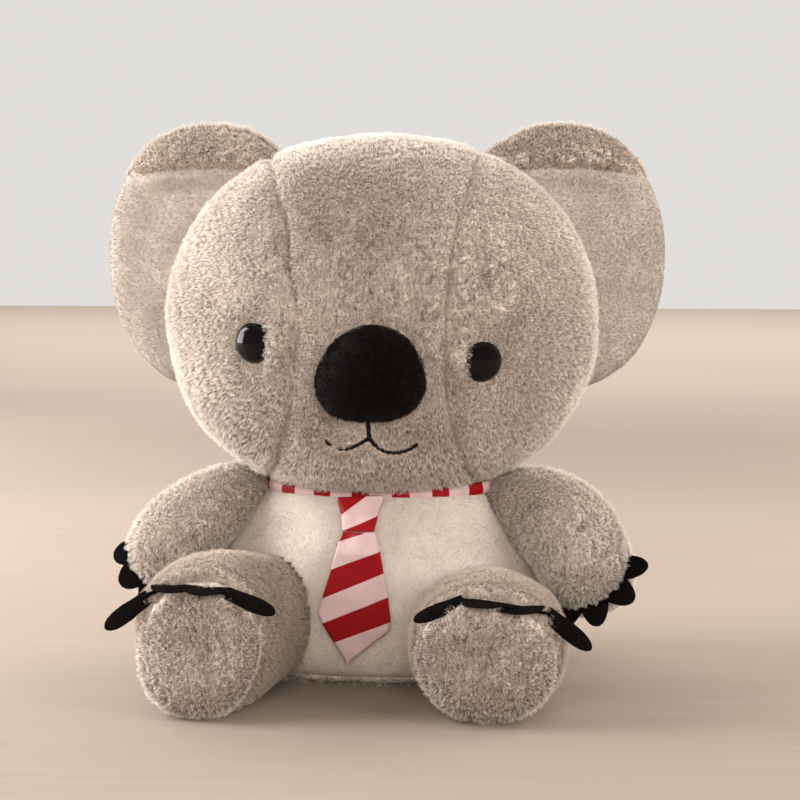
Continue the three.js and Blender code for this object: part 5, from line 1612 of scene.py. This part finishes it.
zs = np.concatenate([np.linspace(126.1, 50, 46), np.linspace(49, 23.4, 26)])
rows_, across = [], 25
for z in zs:
    xl, xr = float(edge_at(BLADE_L, z)), float(edge_at(BLADE_R, z))
    lean = -105.4 - (125.6 - z) * 0.46 if z > 110 else -112.6 - (110 - z) * 0.035 if z > 60 else -114.35
    u_ = np.linspace(-1, 1, across)
    mid_, hw_ = (xl + xr) / 2, (xr - xl) / 2
    bulge = 0.9 * (1 - u_ ** 4) + 0.35 * np.sin(z / 9.0 + u_ * 2.2) * (1 - u_ ** 2)
    pinch = 1.6 * np.exp(-((125.6 - z) / 10.0) ** 2) * np.cos(u_ * math.pi * 1.5) * 0.6
    rows_.append(np.stack([mid_ + hw_ * u_, lean - 1.3 - bulge - pinch, np.full(across, z) - 0.35 * (1 - u_ ** 2)], 1))
blade = ribbon("tie_blade_satin", ["tie_blade"], "tie", np.array(rows_), 1.1, mat_blade)

print("strands", strands)

# -------------------------------------------------------- floor, light, sky

fm, ft, fo = new_material("floor_pale")
fb = ft.nodes.new("ShaderNodeBsdfPrincipled")
fb.inputs["Roughness"].default_value = 0.75
fb.inputs["Specular IOR Level"].default_value = 0.2
fn = noise_tex(ft, stretched(ft, (1, 12, 1)), 6.0, 4.0)
near_col = ramp(ft, fn, [(0.3, srgb(148, 134, 121)), (0.7, srgb(153, 139, 127))])
# painted light and shade on the floor: from 0.8 m out it dips darker near 1.2 m, then grows brighter to 2.75 m away
fc = ft.nodes.new("ShaderNodeTexCoord")
fl = ft.nodes.new("ShaderNodeVectorMath")
fl.operation = "LENGTH"
ft.links.new(fc.outputs["Object"], fl.inputs[0])
far_floor_painted_light = ramp(ft, math_node(ft, "MULTIPLY", fl.outputs["Value"], 0.2), [(0.16, srgb(152, 138, 126)), (0.24, srgb(140, 127, 116)), (0.36, srgb(150, 136, 124)), (0.55, srgb(188, 174, 160))])
fx = ramp(ft, math_node(ft, "MULTIPLY", fl.outputs["Value"], 0.2), [(0.16, (0, 0, 0, 1)), (0.3, (1, 1, 1, 1))])
fmix = ft.nodes.new("ShaderNodeMix")
fmix.data_type = "RGBA"
ft.links.new(fx, fmix.inputs["Factor"])
ft.links.new(near_col, fmix.inputs[6])
ft.links.new(far_floor_painted_light, fmix.inputs[7])
ft.links.new(fmix.outputs[2], fb.inputs["Base Color"])
ft.links.new(fb.outputs[0], fo.inputs["Surface"])
fme = bpy.data.meshes.new("floor")
fme.from_pydata([(-6, -6, 0), (6, -6, 0), (6, 6, 0), (-6, 6, 0)], [], [(0, 1, 2, 3)])
floor = bpy.data.objects.new("floor", fme)
fme.materials.append(fm)
bpy.context.scene.collection.objects.link(floor)

world = bpy.data.worlds.new("sky")
bpy.context.scene.world = world
world.use_nodes = True
bg = world.node_tree.nodes["Background"]
bg.inputs["Color"].default_value = (1.0, 0.975, 0.94, 1)
# the far side of the studio is a bright wall, the near side is dim
wt = world.node_tree
wc = wt.nodes.new("ShaderNodeTexCoord")
ws = wt.nodes.new("ShaderNodeSeparateXYZ")
wt.links.new(wc.outputs["Generated"], ws.inputs[0])
wm = wt.nodes.new("ShaderNodeMapRange")
wm.interpolation_type = "SMOOTHSTEP"
wm.inputs["From Min"].default_value = 0.1
wm.inputs["From Max"].default_value = 0.95
wm.inputs["To Min"].default_value = 0.3
wm.inputs["To Max"].default_value = 0.75
wt.links.new(ws.outputs["Y"], wm.inputs["Value"])
wt.links.new(wm.outputs["Result"], bg.inputs["Strength"])


def area_light(name, at, to, size, watts, colour):
    d = bpy.data.lights.new(name, "AREA")
    d.shape = "RECTANGLE"
    d.size, d.size_y = size
    d.energy = watts
    d.color = colour
    o = bpy.data.objects.new(name, d)
    o.location = at
    o.rotation_mode = "QUATERNION"
    o.rotation_quaternion = (Vector(to) - Vector(at)).to_track_quat("-Z", "Y")
    o.visible_camera = False
    bpy.context.scene.collection.objects.link(o)
    return o


LOOK = (0, -0.05, 0.22)
WARM = (1.0, 0.965, 0.92)
DAY = (0.985, 0.985, 0.985)
window = area_light("window", (-1.85, -0.15, 0.85), LOOK, (1.1, 1.7), 85, DAY)
right = area_light("right", (1.9, -1.0, 0.9), LOOK, (1.4, 1.4), 35, WARM)
front = area_light("front", (0.2, -2.6, 0.9), LOOK, (1.6, 1.2), 34, WARM)
top = area_light("top", (0.1, 0.3, 2.1), LOOK, (1.8, 1.8), 14, WARM)
back_left = area_light("back_left", (-1.5, 1.2, 1.0), LOOK, (1.2, 1.2), 35, DAY)
back_right = area_light("back_right", (1.5, 1.2, 1.0), LOOK, (1.2, 1.2), 28, WARM)
far = area_light("far", (0, 4.3, 1.9), (0, 4.3, 0), (8.0, 3.2), 150, WARM)
for lamp in (right, front, top, back_left, back_right, far):
    lamp.visible_glossy = False
bpy.context.scene.view_settings.view_transform = "Standard"
